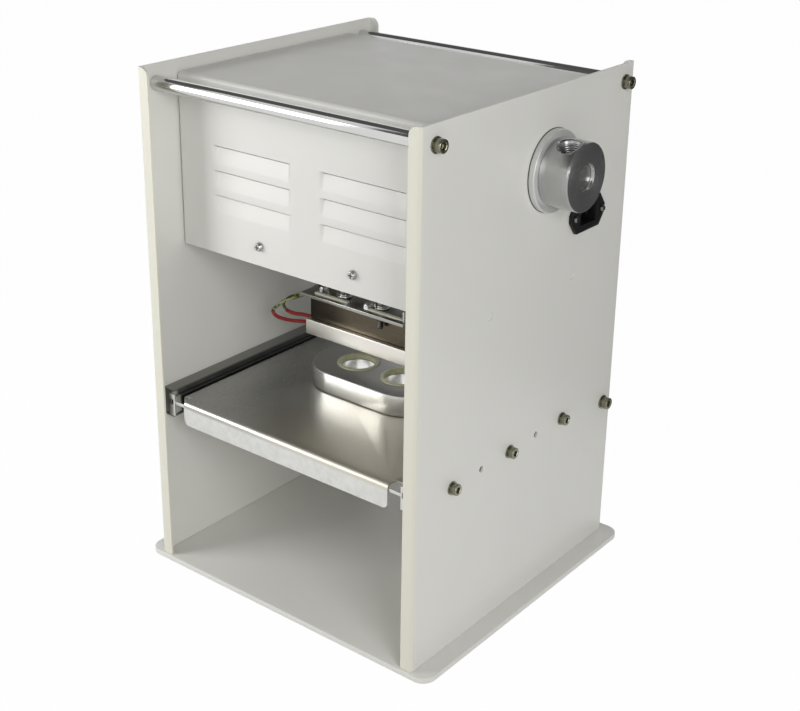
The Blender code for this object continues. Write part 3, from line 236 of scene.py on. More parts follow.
def turned_metal(name, colour, low, high, axis="X", anisotropic=0.6, rings=0.93):
    """Metal off a lathe: the highlights fan out round the axis."""
    finish = Finish(name, colour, low, 1.0, Anisotropic=anisotropic, Anisotropic_Rotation=0.25)
    tangent = finish.add("Tangent", {"direction_type": "RADIAL", "axis": axis})
    finish.put(finish.shader, Tangent=tangent.outputs["Tangent"])
    along, across = (1, 0.02) if axis == "X" else (0.02, 1)
    lines = finish.grain(1300, (along, across, 0.02), 2.0)
    return finish.vary(finish.shades(lines, rings, 1.03),
                       finish.spread(finish.grain(300), low, high),
                       finish.grain(900), 0.000002, 0.15)


def mottled_zinc(name, colour, low=0.28, high=0.48):
    """Plated steel with a cloudy surface and small scuffs."""
    finish = Finish(name, colour, low, 1.0)
    cloud = finish.grain(70, detail=6.0)
    scuffs = finish.grain(420, (1, 0.2, 1), 5.0)
    return finish.vary(finish.shades(cloud, 0.78, 1.08), finish.spread(scuffs, low, high), cloud,
                       0.00005, 0.25)


def zinc_with_painted_shade(name, front):
    """Plated steel painted dark a little behind its front, as painted shade beside the tray."""
    finish = Finish(name, (0.62, 0.62, 0.60), 0.35, 1.0)
    back = finish.along("Y", front + 0.0035, front + 0.0065)
    cloud = finish.grain(70, detail=6.0)
    # Painted shade: near black behind the front, standing for the dark gap between the slide and
    # the tray.
    tone = finish.blend(back, finish.shades(cloud, 0.8, 1.08), finish.shades(cloud, 0.16, 0.24))
    return finish.vary(tone, finish.spread(cloud, 0.30, 0.48), cloud, 0.00005, 0.25)


def heat_tinted(name, colour, left, right):
    """Ground steel gone brown, darkest at its left end."""
    finish = Finish(name, colour, 0.22, 1.0)
    heat = finish.along("X", left, left + (right - left) * 0.42)
    dark = [c * 0.28 for c in colour]
    tone = finish.blend(heat, dark, finish.shades(finish.grain(30, (0.6, 1, 1.4), 3.0), 0.85, 1.12))
    lines = finish.grain(700, (0.05, 1, 1), 3.0)
    return finish.vary(tone, finish.spread(lines, 0.27, 0.29), finish.grain(150), 0.000002, 0.1)


def plastic(name, colour, low, high, grain_scale=1600, **sockets):
    finish = Finish(name, colour, low, **sockets)
    return finish.vary(finish.shades(finish.grain(90), 0.8, 1.3),
                       finish.spread(finish.grain(200), low, high), finish.grain(grain_scale),
                       0.00004, 0.35)


def silicone_rubber(name, colour):
    finish = Finish(name, colour, 0.32, Subsurface_Weight=0.7, Subsurface_Scale=0.004,
                    Subsurface_Radius=(1.0, 0.95, 0.5), Transmission_Weight=0.18, IOR=1.41)
    return finish.vary(finish.shades(finish.grain(130), 0.88, 1.08),
                       finish.spread(finish.grain(260), 0.26, 0.42), finish.grain(900), 0.00005,
                       0.3)


def glass_braid(name):
    """A braided sleeve in black, green and straw yellow."""
    finish = Finish(name, (0.3, 0.32, 0.12), 0.75)
    checks = finish.add("TexVoronoi", {"feature": "F1"}, Vector=finish.position(), Scale=420.0)
    pick = finish.spread(checks.outputs["Distance"], 0.0, 1.0, 0.25, 0.45)
    dashes = finish.spread(finish.grain(210, detail=1.0), 0.0, 1.0, 0.47, 0.53)
    straw = finish.blend(dashes, (0.10, 0.13, 0.035), (0.46, 0.50, 0.24))
    tone = finish.blend(pick, (0.02, 0.024, 0.016), straw)
    finish.put(finish.shader, Roughness=0.78)
    return finish.vary(tone, None, checks.outputs["Distance"], 0.0003, 0.6)


# ---------------------------------------------------------------- shaping
def corners(node):
    low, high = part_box(node)
    return Vector(low), Vector(high)


def middle(node):
    low, high = corners(node)
    return (low + high) / 2


def side_x(node, sign):
    """Where a node's box ends on the right, or on the left for a sign of -1."""
    return corners(node)[1 if sign > 0 else 0].x


def collection():
    name = "sealer_pieces"
    if name not in bpy.data.collections:
        bpy.context.scene.collection.children.link(bpy.data.collections.new(name))
    return bpy.data.collections[name]


def mesh_of(name, bm):
    mesh = bpy.data.meshes.new(name)
    bm.to_mesh(mesh)
    bm.free()
    return mesh


def linked(name, data):
    obj = bpy.data.objects.new(name, data)
    bpy.context.scene.collection.objects.link(obj)
    return obj


def worked(bm, modifiers, tools=()):
    """The shape with the tools cut out of it, and then the modifiers, each (type, settings)."""
    obj = linked("shaping", mesh_of("shaping", bm))
    others = [linked("shaping", mesh_of("shaping", tool)) for tool in tools]
    for other in others:
        modifier = obj.modifiers.new("cut", "BOOLEAN")
        modifier.operation = "DIFFERENCE"
        modifier.solver = "EXACT"
        modifier.object = other
    for kind, settings in modifiers:
        modifier = obj.modifiers.new(kind.lower(), kind)
        for key, value in settings.items():
            setattr(modifier, key, value)
    graph = bpy.context.evaluated_depsgraph_get()
    mesh = bpy.data.meshes.new_from_object(obj.evaluated_get(graph))
    result = bmesh.new()
    result.from_mesh(mesh)
    for item in (*others, obj):
        bpy.data.objects.remove(item, do_unlink=True)
    return result


def broken(width, segments=2, angle=40):
    """A modifier that breaks every edge sharper than the angle."""
    return ("BEVEL", {"width": width, "segments": segments, "limit_method": "ANGLE",
                      "angle_limit": math.radians(angle), "use_clamp_overlap": True})


def sheet_of(thickness, offset=-1.0):
    return ("SOLIDIFY", {"thickness": thickness, "offset": offset, "use_even_offset": True})


def block(low, high, edge=0.0, segments=3):
    bm = bmesh.new()
    bmesh.ops.create_cube(bm, size=1.0)
    low, high = Vector(low), Vector(high)
    bmesh.ops.scale(bm, vec=high - low, verts=bm.verts)
    bmesh.ops.translate(bm, vec=(low + high) / 2, verts=bm.verts)
    if edge:
        bmesh.ops.bevel(bm, geom=bm.edges[:], offset=edge, segments=segments, profile=0.5,
                        affect="EDGES")
    return bm


def between(xs, ys, zs, edge=0.0):
    """A block between two places along each axis, in either order."""
    return block([min(pair) for pair in (xs, ys, zs)], [max(pair) for pair in (xs, ys, zs)], edge)


def arc(centre, radius, start, end, count):
    step = (end - start) / count
    turn = [math.radians(start + i * step) for i in range(count + 1)]
    return [(centre[0] + radius * math.cos(a), centre[1] + radius * math.sin(a)) for a in turn]


def fillet(points, radius, count=3, closed=True):
    """A line with each corner rounded to the radius, or to what its sides allow."""
    result = []
    size = len(points)
    for i, point in enumerate(points):
        if not closed and i in (0, size - 1):
            result.append(point)
            continue
        here = Vector(point)
        before, after = Vector(points[i - 1]) - here, Vector(points[(i + 1) % size]) - here
        if before.length < 1e-9 or after.length < 1e-9:
            continue
        half = before.angle(after) / 2
        if half > math.radians(88):
            result.append(point)
            continue
        reach = min(radius / math.tan(half), before.length * 0.49, after.length * 0.49)
        first, last = here + before.normalized() * reach, here + after.normalized() * reach
        for k in range(count + 1):
            t = k / count
            result.append(tuple((1 - t) ** 2 * first + 2 * t * (1 - t) * here + t * t * last))
    return result


AXIS_TURNS = {
    "X": Matrix(((0, 0, 1), (1, 0, 0), (0, 1, 0))).to_4x4(),
    "Y": Matrix(((0, 1, 0), (0, 0, 1), (1, 0, 0))).to_4x4(),
    "Z": Matrix.Identity(4),
}


def at(point, axis="Z"):
    """The place of a piece whose local +Z points along an axis of the frame."""
    return Matrix.Translation(Vector(point)) @ AXIS_TURNS[axis]


def facing(point, direction):
    """The place of a piece whose local +Z points in any direction."""
    turn = Vector(direction).to_track_quat("Z", "Y").to_matrix().to_4x4()
    return Matrix.Translation(Vector(point)) @ turn


def hexagon(apothem):
    return lambda angle: apothem / math.cos((angle % (math.pi / 3)) - math.pi / 6)


def cross(reach, half_width):
    def radius(angle):
        off = abs((angle + math.pi / 4) % (math.pi / 2) - math.pi / 4)
        return min(reach, half_width / max(math.sin(off), 1e-4))
    return radius


def turned(profile, place=None, steps=48, closed=False):
    """A profile of (radius, height) about local +Z. A radius may be a function of the angle."""
    bm = bmesh.new()
    rings = []
    for radius, height in profile:
        if not callable(radius) and radius < 1e-9:
            rings.append([bm.verts.new((0, 0, height))])
            continue
        ring = []
        for i in range(steps):
            angle = 2 * math.pi * i / steps
            r = radius(angle) if callable(radius) else radius
            ring.append(bm.verts.new((r * math.cos(angle), r * math.sin(angle), height)))
        rings.append(ring)
    pairs = list(zip(rings, rings[1:])) + ([(rings[-1], rings[0])] if closed else [])
    for first, second in pairs:
        for i in range(steps):
            k = (i + 1) % steps
            if len(first) == 1 and len(second) > 1:
                bm.faces.new((first[0], second[i], second[k]))
            elif len(second) == 1 and len(first) > 1:
                bm.faces.new((first[i], second[0], first[k]))
            elif len(first) > 1:
                bm.faces.new((first[i], second[i], second[k], first[k]))
    bmesh.ops.recalc_face_normals(bm, faces=bm.faces)
    if place is not None:
        bm.transform(place)
    return bm


def drill(radius, reach, place, steps):
    """A round tool that reaches as far either way along local Z."""
    return turned([(0, -reach), (radius, -reach), (radius, reach), (0, reach)], place, steps)


def bar(radius, start, end, edge, place, steps, count=3):
    """A round bar along local Z with both rims rounded."""
    profile = [(0, start), (radius, start), (radius, end), (0, end)]
    return turned(fillet(profile, edge, count, False), place, steps)


def quarter(radius, step=15):
    """A quarter circle as (along, aside) from where it leaves a straight line."""
    turn = [math.radians(a) for a in range(0, 91, step)]
    return [(radius * math.sin(a), radius * (1 - math.cos(a))) for a in turn]


def prism(outline, low, high, place=None, edge=0.0, segments=3):
    """A flat outline drawn out along local +Z, with the rims of both ends rounded."""
    bm = bmesh.new()
    lower = [bm.verts.new((x, y, low)) for x, y in outline]
    upper = [bm.verts.new((x, y, high)) for x, y in outline]
    bm.faces.new(lower[::-1])
    bm.faces.new(upper)
    for i in range(len(outline)):
        k = (i + 1) % len(outline)
        bm.faces.new((lower[i], lower[k], upper[k], upper[i]))
    bmesh.ops.recalc_face_normals(bm, faces=bm.faces)
    if edge:
        rims = [e for e in bm.edges if abs(e.verts[0].co.z - e.verts[1].co.z) < 1e-9]
        bmesh.ops.bevel(bm, geom=rims, offset=edge, segments=segments, profile=0.5,
                        affect="EDGES")
    if place is not None:
        bm.transform(place)
    return bm


def tube(points, radius, sides=12):
    """A round tube along the points, with closed ends."""
    points = [Vector(p) for p in points]
    bm = bmesh.new()
    ahead = (points[1] - points[0]).normalized()
    side = ahead.orthogonal().normalized()
    rings = []
    for i, point in enumerate(points):
        before, after = points[max(i - 1, 0)], points[min(i + 1, len(points) - 1)]
        direction = (after - before).normalized()
        side = (side - direction * side.dot(direction)).normalized()
        up = direction.cross(side)
        rings.append([bm.verts.new(point + radius * (math.cos(a) * side + math.sin(a) * up))
                      for a in (2 * math.pi * k / sides for k in range(sides))])
    for first, second in zip(rings, rings[1:]):
        for i in range(sides):
            k = (i + 1) % sides
            bm.faces.new((first[i], second[i], second[k], first[k]))
    bm.faces.new(rings[0])
    bm.faces.new(rings[-1][::-1])
    bmesh.ops.recalc_face_normals(bm, faces=bm.faces)
    return bm


def face_up(bm):
    """Turns the faces of an open sheet so that its largest one looks up."""
    bmesh.ops.recalc_face_normals(bm, faces=bm.faces)
    if max(bm.faces, key=lambda f: f.calc_area()).normal.z < 0:
        bmesh.ops.reverse_faces(bm, faces=bm.faces)


def smooth_route(points, spacing):
    """A Catmull-Rom curve through the points, sampled about every spacing metres."""
    points = [Vector(p) for p in points]
    ends = [2 * points[0] - points[1], *points, 2 * points[-1] - points[-2]]
    route = []
    for i in range(1, len(ends) - 2):
        a, b, c, d = ends[i - 1:i + 3]
        count = max(2, round((c - b).length / spacing))
        for k in range(count):
            t = k / count
            route.append(0.5 * (2 * b + (c - a) * t + (2 * a - 5 * b + 4 * c - d) * t * t
                                + (3 * b - a - 3 * c + d) * t ** 3))
    return [*route, points[-1]]


def merged(*shapes):
    """Several shapes as one mesh."""
    bm = bmesh.new()
    for shape in shapes:
        mesh = mesh_of("part", shape)
        bm.from_mesh(mesh)
        bpy.data.meshes.remove(mesh)
    return bm


def node_shape(name):
    """A copy of a CAD node's shape with its flat faces whole again."""
    bm = bmesh.new()
    bm.from_mesh(frame["nodes"][name].data)
    bmesh.ops.remove_doubles(bm, verts=bm.verts, dist=0.000002)
    bmesh.ops.dissolve_limit(bm, angle_limit=math.radians(0.6), verts=bm.verts, edges=bm.edges)
    return bm


def piece(name, bm, body, material, replaced=(), angle=32):
    """Adds a shape to the scene as a piece that rides on a body."""
    mesh = mesh_of(name, bm)
    mesh.shade_smooth()
    mesh.set_sharp_from_angle(angle=math.radians(angle))
    mesh.materials.append(material)
    obj = bpy.data.objects.new(name, mesh)
    collection().objects.link(obj)
    if body:
        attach(obj, body)
    if replaced:
        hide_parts(*replaced)
    return obj


def broken_copy(name, node, body, material, edge, segments=3, sharp=40, angle=32):
    """A piece with its CAD node's own shape, its edges broken."""
    return piece(name, worked(node_shape(node), [broken(edge, segments, sharp)]), body,
                 material, [node], angle)


# ---------------------------------------------------------------- frame
SPARE_HOLES = ((0.090, 0.272), (0.205, 0.272))     # from a panel's front bottom corner
SPARE_HOLE = 0.0076
RAIL_SPARE_HOLE = 0.0054
ROD_SCREW_HOLE = 0.0064
RAIL_SCREW_HOLE = 0.0054
BEARING_HOLE = 0.0346
INLET_WINDOW = (0.0276, 0.0202)
FLANGE_CORNER = 0.007
BLANK_FIT = 0.00015                # round a blank in its hole
BLANK_SHEET = 0.0010
BLANK_SINK = 0.0006                # a blank's face below the panel's
BASE_CORNER = 0.012


def panel_shape(sizes, side, sign):
    low, high = corners(f"{side}_side_panel")
    outer = side_x(f"{side}_side_panel", sign)
    width = high.x - low.x
    bend = sizes.panel_bend
    path = [(width - FLANGE_CORNER + along, low.y, high.z - aside)
            for along, aside in reversed(quarter(FLANGE_CORNER, 10))]
    path += [(bend - along, low.y + aside, high.z) for along, aside in quarter(bend, 10)]
    rear = [(x, low.y + high.y - y, z) for x, y, z in reversed(path)]
    bm = bmesh.new()
    columns = []
    for inset, y, top in path + rear:
        x = outer - sign * inset
        columns.append((bm.verts.new((x, y, low.z)), bm.verts.new((x, y, top))))
    for (a, b), (c, d) in zip(columns, columns[1:]):
        bm.faces.new((a, c, d, b) if sign > 0 else (b, d, c, a))
    rods = ("front_tie_rod", "rear_tie_rod", "lower_tie_rod")
    places = [(middle(f"{rod}_screw_{side}"), ROD_SCREW_HOLE / 2) for rod in rods]
    rail = [middle(f"rail_screw_{side}_{row}") for row in ("front", "middle", "rear")]
    places += [(place, RAIL_SCREW_HOLE / 2) for place in rail]
    places += [((a + b) / 2, RAIL_SPARE_HOLE / 2) for a, b in zip(rail, rail[1:])]
    places += [(Vector((0, low.y + y, low.z + z)), SPARE_HOLE / 2) for y, z in SPARE_HOLES]
    tools = [drill(radius, 0.02, at((outer, place.y, place.z), "X"), 28)
             for place, radius in places]
    if sign > 0:
        tools.append(drill(BEARING_HOLE / 2, 0.02, at((outer, HUB_AXIS.y, HUB_AXIS.z), "X"), 40))
        window = Vector((0.02, INLET_WINDOW[0] / 2, INLET_WINDOW[1] / 2))
        spot = Vector((outer, *middle("power_inlet").yz))
        tools.append(block(spot - window, spot + window))
    solid = worked(bm, [sheet_of(sizes.panel_sheet)])
    return worked(solid, [broken(sizes.edge, 2, 50)], tools)


def build_panels(settings):
    colours, sizes = settings.colours, settings.sizes
    front = corners("right_side_panel")[0].y
    coat = powder_coat("panel_powder_coat", colours.paint, colours.edge_paint, front)
    for side, sign in SIDES:
        piece(f"{side}_panel", panel_shape(sizes, side, sign), "frame", coat,
              [f"{side}_side_panel"], 14)
        low = corners(f"{side}_side_panel")[0]
        outer = side_x(f"{side}_side_panel", sign)
        start = outer - sign * (BLANK_SINK + BLANK_SHEET / 2) - BLANK_SHEET / 2
        blanks = [bar(SPARE_HOLE / 2 - BLANK_FIT, 0, BLANK_SHEET, 0.0002,
                      at((start, low.y + y, low.z + z), "X"), 32, 2) for y, z in SPARE_HOLES]
        piece(f"{side}_hole_blanks", merged(*blanks), "frame", coat)


def build_base(settings):
    low, high = corners("base_plate")
    inset = Vector((BASE_CORNER, BASE_CORNER, 0))
    near, far = low + inset, high - inset
    outline = [p for x, y, a in ((far.x, near.y, -90), (far.x, far.y, 0), (near.x, far.y, 90),
                                 (near.x, near.y, 180))
               for p in arc((x, y), BASE_CORNER, a, a + 90, 10)]
    coat = powder_coat("base_powder_coat", settings.colours.paint)
    piece("base", prism(outline, low.z, high.z, edge=0.0008), "frame", coat,
          ["base_plate"])
    rubber = plastic("foot_rubber", (0.022, 0.022, 0.022), 0.6, 0.85, 700)
    for row in ("front", "rear"):
        for side, _ in SIDES:
            node = f"foot_{row}_{side}"
            low, high = corners(node)
            radius, tall = (high.x - low.x) / 2, high.z - low.z
            profile = fillet([(0, 0), (radius * 0.86, 0), (radius, tall * 0.4), (radius, tall),
                              (0, tall)], 0.0006, closed=False)
            centre = middle(node)
            piece(f"{node}_pad", turned(profile, at((centre.x, centre.y, low.z))), "frame",
                  rubber, [node])


# ---------------------------------------------------------------- fixings
def socket_screw(place, head, tall, washer, shank=0.003):
    """A cap screw seen from outside: plain washer, spring washer, and a head with a hex socket."""
    plain, spring = 0.0011, 0.0013
    seat = plain + spring
    ring = fillet([(shank, 0), (washer, 0), (washer, plain), (shank, plain)], 0.0002, 2)
    split = fillet([(shank, plain + 0.00005), (head * 0.97, plain + 0.0002),
                    (head * 0.97, seat - 0.0002), (shank, seat - 0.00005)], 0.0002, 2)
    hexagonal = hexagon(head * 0.50)
    cap = fillet([(0, seat), (head, seat), (head, tall), (head * 0.62, tall)], 0.0006, 3, False)
    cap += [(hexagon(head * 0.56), tall), (hexagonal, tall - 0.0003),
            (hexagonal, tall - 0.0027), (0, tall - 0.0032)]
    pin = [(0, -0.004), (shank * 0.96, -0.004), (shank * 0.96, seat + 0.0003), (0, seat + 0.0003)]
    return merged(turned(ring, place, 32, True), turned(split, place, 32, True),
                  turned(cap, place, 48), turned(pin, place, 24))


def pan_screw(place, head, tall, shank=0.002):
    """A pan head with a cross recess."""
    profile = fillet([(0, 0), (head, 0), (head, tall * 0.35), (head * 0.7, tall),
                      (head * 0.6, tall)], tall * 0.4, 4, False)
    profile += [(cross(head * 0.58, head * 0.15), tall), (cross(head * 0.42, head * 0.12),
                tall * 0.45), (0, tall * 0.35)]
    pin = [(0, -0.003), (shank * 0.95, -0.003), (shank * 0.95, tall * 0.2), (0, tall * 0.2)]
    return merged(turned(profile, place, 64), turned(pin, place, 20))


def build_fixings(settings):
    zinc = mottled_zinc("zinc_screw", (0.27, 0.265, 0.20), 0.20, 0.36)
    names = [f"{rod}_tie_rod_screw_{side}" for rod in ("front", "rear", "lower")
             for side, _ in SIDES]
    names += [f"rail_screw_{side}_{row}" for side, _ in SIDES
              for row in ("front", "middle", "rear")]
    for node in names:
        low, high = corners(node)
        centre = middle(node)
        side, sign = SIDES[1 if centre.x > 0 else 0]
        seat = side_x(f"{side}_side_panel", sign)
        tall = abs(side_x(node, sign) - seat)
        washer = (high.y - low.y) / 2
        shape = socket_screw(facing((seat, centre.y, centre.z), (sign, 0, 0)), washer * 0.84, tall,
                             washer, 0.0028)
        piece(f"{node}_detail", shape, "frame", zinc, [node])
    bright = mottled_zinc("bright_screw", (0.55, 0.55, 0.54), 0.2, 0.36)
    for side, _ in SIDES:
        node = f"cover_screw_{side}"
        low, high = corners(node)
        centre = middle(node)
        cover_front = corners("housing_cover")[0].y
        shape = pan_screw(facing((centre.x, cover_front, centre.z), (0, -1, 0)),
                          (high.x - low.x) / 2, cover_front - low.y)
        piece(f"{node}_detail", shape, "frame", bright, [node])


def build_rods(settings):
    steel = brushed("polished_rod", settings.colours.steel, (0.5, 1, 1), 0.07, 0.13, 500,
                    depth=0.000003)
    for node in ("front_tie_rod", "rear_tie_rod", "lower_tie_rod"):
        low, high = corners(node)
        half = (high.x - low.x) / 2
        shape = bar((high.z - low.z) / 2, -half, half, 0.0007, at(middle(node), "X"), 64)
        piece(f"{node}_bar", shape, "frame", steel, [node])


# ---------------------------------------------------------------- housing
LOUVRE_WIDTH = 0.085
LOUVRE_HEIGHT = 0.015
LOUVRE_END = 0.0038                # over which each end is eased in
LOUVRE_KERF = 0.0014
LOUVRE_PITCH = 0.0207
LOUVRE_CENTRE = 0.057              # of each column, from the machine's centre plane
LOUVRE_RISE = 0.050                # lowest cut edge above the cover's bottom
COVER_BEND = 0.004
COVER_RETURN = 0.010


def eased(share):
    share = min(1.0, max(0.0, share))
    return share * share * (3 - 2 * share)


def louvre_depth(x, z, tops, depth):
    """How far the sheet is pressed in: eased at the ends, and deepest at the cut edge."""
    off = LOUVRE_WIDTH / 2 - abs(abs(x) - LOUVRE_CENTRE)
    for top in tops:
        if top - LOUVRE_HEIGHT < z <= top + 1e-7:
            return depth * eased(off / LOUVRE_END) * max(0.0, (z - top) / LOUVRE_HEIGHT + 1)
    return 0.0


def cover_lines(low, high, tops):
    """The cross lines of the front: across it, and up it."""
    across = {-high.x, high.x, 0.0}
    for sign in (-1, 1):
        for end in (-1, 1):
            for k in range(11):
                across.add(sign * LOUVRE_CENTRE + end * (LOUVRE_WIDTH / 2 - LOUVRE_END * k / 10))
        for k in range(1, 10):
            across.add(sign * LOUVRE_CENTRE + (LOUVRE_WIDTH - 2 * LOUVRE_END) * (k / 10 - 0.5))
    up = {low.z, high.z - COVER_RETURN, high.z - COVER_BEND}
    for top in tops:
        up |= {top - LOUVRE_HEIGHT * k / 10 for k in range(11)}
    return sorted({round(x, 6) for x in across}), sorted({round(z, 6) for z in up})


def cover_sheet_form(depth):
    """The outside of the cover as one open sheet: front, bends, returns at the sides, back, top."""
    low, high = corners("housing_cover")
    axis = (low.x + high.x) / 2
    half, bend = high.x - axis, COVER_BEND
    tops = [low.z + LOUVRE_RISE + row * LOUVRE_PITCH for row in range(3)]
    flat = half - bend
    across, up = cover_lines(low, Vector((flat, 0, high.z)), tops)
    turn = [math.radians(a) for a in range(0, 91, 15)]
    front = [(x, low.y, 0.0, 0.0) for x in across]
    plan = list(front)
    plan += [(flat, low.y + bend, math.sin(a), -math.cos(a)) for a in turn[1:]]
    plan += [(half, low.y + COVER_RETURN, 0, 0), (half, high.y - COVER_RETURN, 0, 0)]
    plan += [(flat, high.y - bend, math.cos(a), math.sin(a)) for a in turn]
    plan += [(-flat, high.y - bend, -math.sin(a), math.cos(a)) for a in turn]
    plan += [(-half, high.y - COVER_RETURN, 0, 0), (-half, low.y + COVER_RETURN, 0, 0)]
    plan += [(-flat, low.y + bend, -math.cos(a), -math.sin(a)) for a in turn[:-1]]
    bm = bmesh.new()

    def cut_at(z):
        return any(abs(z - top) < 1e-6 for top in tops)

    def ring(z, shrink, side):
        verts = []
        for i, (x, y, nx, ny) in enumerate(plan):
            if i < len(front):
                pressed = 0.0 if shrink or side == "above" else louvre_depth(x, z, tops, depth)
                kerf = LOUVRE_KERF * pressed / depth if cut_at(z) else 0
                verts.append(bm.verts.new((axis + x, low.y + shrink + pressed, z - kerf)))
            elif nx or ny:
                reach = bend - shrink
                verts.append(bm.verts.new((axis + x + nx * reach, y + ny * reach, z)))
            else:
                verts.append(bm.verts.new((axis + x - math.copysign(shrink, x), y, z)))
        return verts

    rows = []
    for z in up:
        lower = ring(z, 0.0, "below")
        rows.append((lower, ring(z, 0.0, "above") if cut_at(z) else lower))
    for a in turn[1:]:
        lower = ring(high.z - bend + bend * math.sin(a), bend * (1 - math.cos(a)), "above")
        rows.append((lower, lower))
    returns = (len(front) + len(turn) - 1, len(plan) - len(turn))
    open_below = up.index(round(high.z - COVER_RETURN, 6))
    for j, (first, second) in enumerate(zip(rows, rows[1:])):
        for i in range(len(plan)):
            if i in returns and j < open_below:
                continue
            k = (i + 1) % len(plan)
            bm.faces.new((first[1][i], first[1][k], second[0][k], second[0][i]))
    bm.faces.new(rows[-1][1])
    bmesh.ops.remove_doubles(bm, verts=bm.verts, dist=0.00002)
    face_up(bm)
    return bm


def cover_shape(sizes):
    low, high = corners("housing_cover")
    shell = worked(cover_sheet_form(sizes.louvre_depth), [sheet_of(sizes.cover_sheet)])
    tools = []
    for side, _ in SIDES:
        centre = middle(f"cover_screw_{side}")
        tools.append(drill(0.0022, 0.01, at((centre.x, low.y, centre.z), "Y"), 24))
    switch, dial = corners("switch_body"), middle("thermostat_knob")
    tools.append(block((switch[0].x + 0.0008, high.y - 0.01, switch[0].z + 0.0008),
                       (switch[1].x - 0.0008, high.y + 0.01, switch[1].z - 0.0008)))
    tools.append(drill(0.0048, 0.01, at((dial.x, high.y, dial.z), "Y"), 32))
    return worked(shell, [], tools)


def build_cover(settings):
    coat = powder_coat("cover_coat", settings.colours.cover_paint)
    piece("cover", cover_shape(settings.sizes), "frame", coat, ["housing_cover"],
          50)


# ---------------------------------------------------------------- slides and tray
CAP_HOLE = 0.0048
CAP_HOLE_INSET = 0.0026            # its middle from the slide's back
TAB_GAP = 0.0006                   # between a slide's tab and the tray's lip
TRAY_LIP_WIDTH = 0.2212
TRAY_SKIRT = 0.016
TRAY_SKIRT_START = 0.010           # behind the tray's front
TRAY_BEND = 0.0042
TRAY_CORNER = 0.005
TRAY_SIDE_GAP = 0.0014             # between the sheet and the node's side
TRAY_HOLE = 0.034                  # under each ring
TRAY_THICKNESS = 0.0015


def build_slides(settings):
    dark = brushed("slide_steel", (0.30, 0.30, 0.285), (1, 0.03, 1), 0.30, 0.50, 900)
    zinc = mottled_zinc("slide_zinc", (0.66, 0.66, 0.64))
    nylon = plastic("slide_stop", (0.012, 0.012, 0.012), 0.45, 0.6)
    for side, sign in SIDES:
        outer, inner = f"outer_rail_{side}", f"inner_rail_{side}"
        broken_copy(f"slide_channel_{side}", outer, "frame", dark, 0.0005, angle=20)
        front, centre = corners(inner)[0].y, middle(inner).z
        broken_copy(f"slide_member_{side}", inner, "tray",
                    zinc_with_painted_shade(f"slide_painted_shade_{side}", front), 0.0004, 2, angle=20)
        back, face = side_x(inner, sign), side_x(inner, -sign)
        cap = between((back, face), (front - 0.0022, front - 0.0003),
                      (centre - 0.0098, centre + 0.0100), 0.0004)
        hole = back - sign * CAP_HOLE_INSET
        tool = between((hole - CAP_HOLE / 2, hole + CAP_HOLE / 2), (front - 0.01, front + 0.01),
                       (centre + 0.0004, centre + 0.0004 + CAP_HOLE))
        piece(f"slide_end_{side}", worked(cap, [], [tool]), "tray", zinc, (), 20)
        stop = between((back - sign * 0.0008, face + sign * 0.0008),
                       (front - 0.0002, front + 0.0010), (centre - 0.0006, centre + 0.0064))
        piece(f"slide_stop_{side}", stop, "tray", nylon)
        lip_edge = middle("tray_sheet").x + sign * (TRAY_LIP_WIDTH / 2 + TAB_GAP)
        tab = between((face, lip_edge), (front - 0.0018, front - 0.0006),
                      (centre + 0.0012, centre + 0.0040), 0.0003)
        piece(f"slide_tab_{side}", tab, "tray", zinc, (), 20)
        wall = side_x(outer, sign)
        filler = block((min(wall, back) + 0.0018, front + 0.0004, centre - 0.0105),
                       (max(wall, back) - 0.0006, front + 0.0040, centre + 0.0105), 0.0003)
        piece(f"slide_filler_{side}", filler, "frame", dark, (), 20)


def tray_shape():
    """The tray's sheet: flat top, rolled front edge, lip with rounded corners, side skirts."""
    low, high = corners("tray_sheet")
    start, bend = low.y + TRAY_SKIRT_START, TRAY_BEND
    axis = (low.x + high.x) / 2
    side_half = high.x - axis - TRAY_SIDE_GAP
    top, foot = high.z, low.z
    bm = bmesh.new()
    ends = [(TRAY_LIP_WIDTH / 2 - TRAY_CORNER + along, aside)
            for along, aside in quarter(TRAY_CORNER)]
    across = [(-x, drop) for x, drop in reversed(ends)] + ends
    rows = [(high.y, top), (start, top)]
    rows += [(low.y + bend - along, top - aside) for along, aside in quarter(bend)]
    grid = []
    for y, z in rows:
        grid.append([bm.verts.new((axis + x, y, z)) for x, _ in across])
    grid.append([bm.verts.new((axis + x, low.y, foot + drop)) for x, drop in across])
    for first, second in zip(grid, grid[1:]):
        for i in range(len(first) - 1):
            bm.faces.new((first[i], second[i], second[i + 1], first[i + 1]))
    for sign, column in ((-1, 0), (1, len(across) - 1)):
        edge = [(side_half - bend + along, top - aside) for along, aside in quarter(bend)]
        edge.append((side_half, top - TRAY_SKIRT))
        strip = [(grid[0][column], grid[1][column])]
        strip += [(bm.verts.new((axis + sign * x, high.y, z)),
                   bm.verts.new((axis + sign * x, start, z))) for x, z in edge]
        for (a, b), (c, d) in zip(strip, strip[1:]):
            bm.faces.new((a, b, d, c) if sign > 0 else (a, c, d, b))
    face_up(bm)
    solid = worked(bm, [sheet_of(TRAY_THICKNESS)])
    tools = []
    for side, _ in SIDES:
        centre = middle(f"silicone_ring_{side}")
        tools.append(drill(TRAY_HOLE / 2, 0.01, at((centre.x, centre.y, top)), 48))
    return worked(solid, [broken(0.0003, 2, 50)], tools)


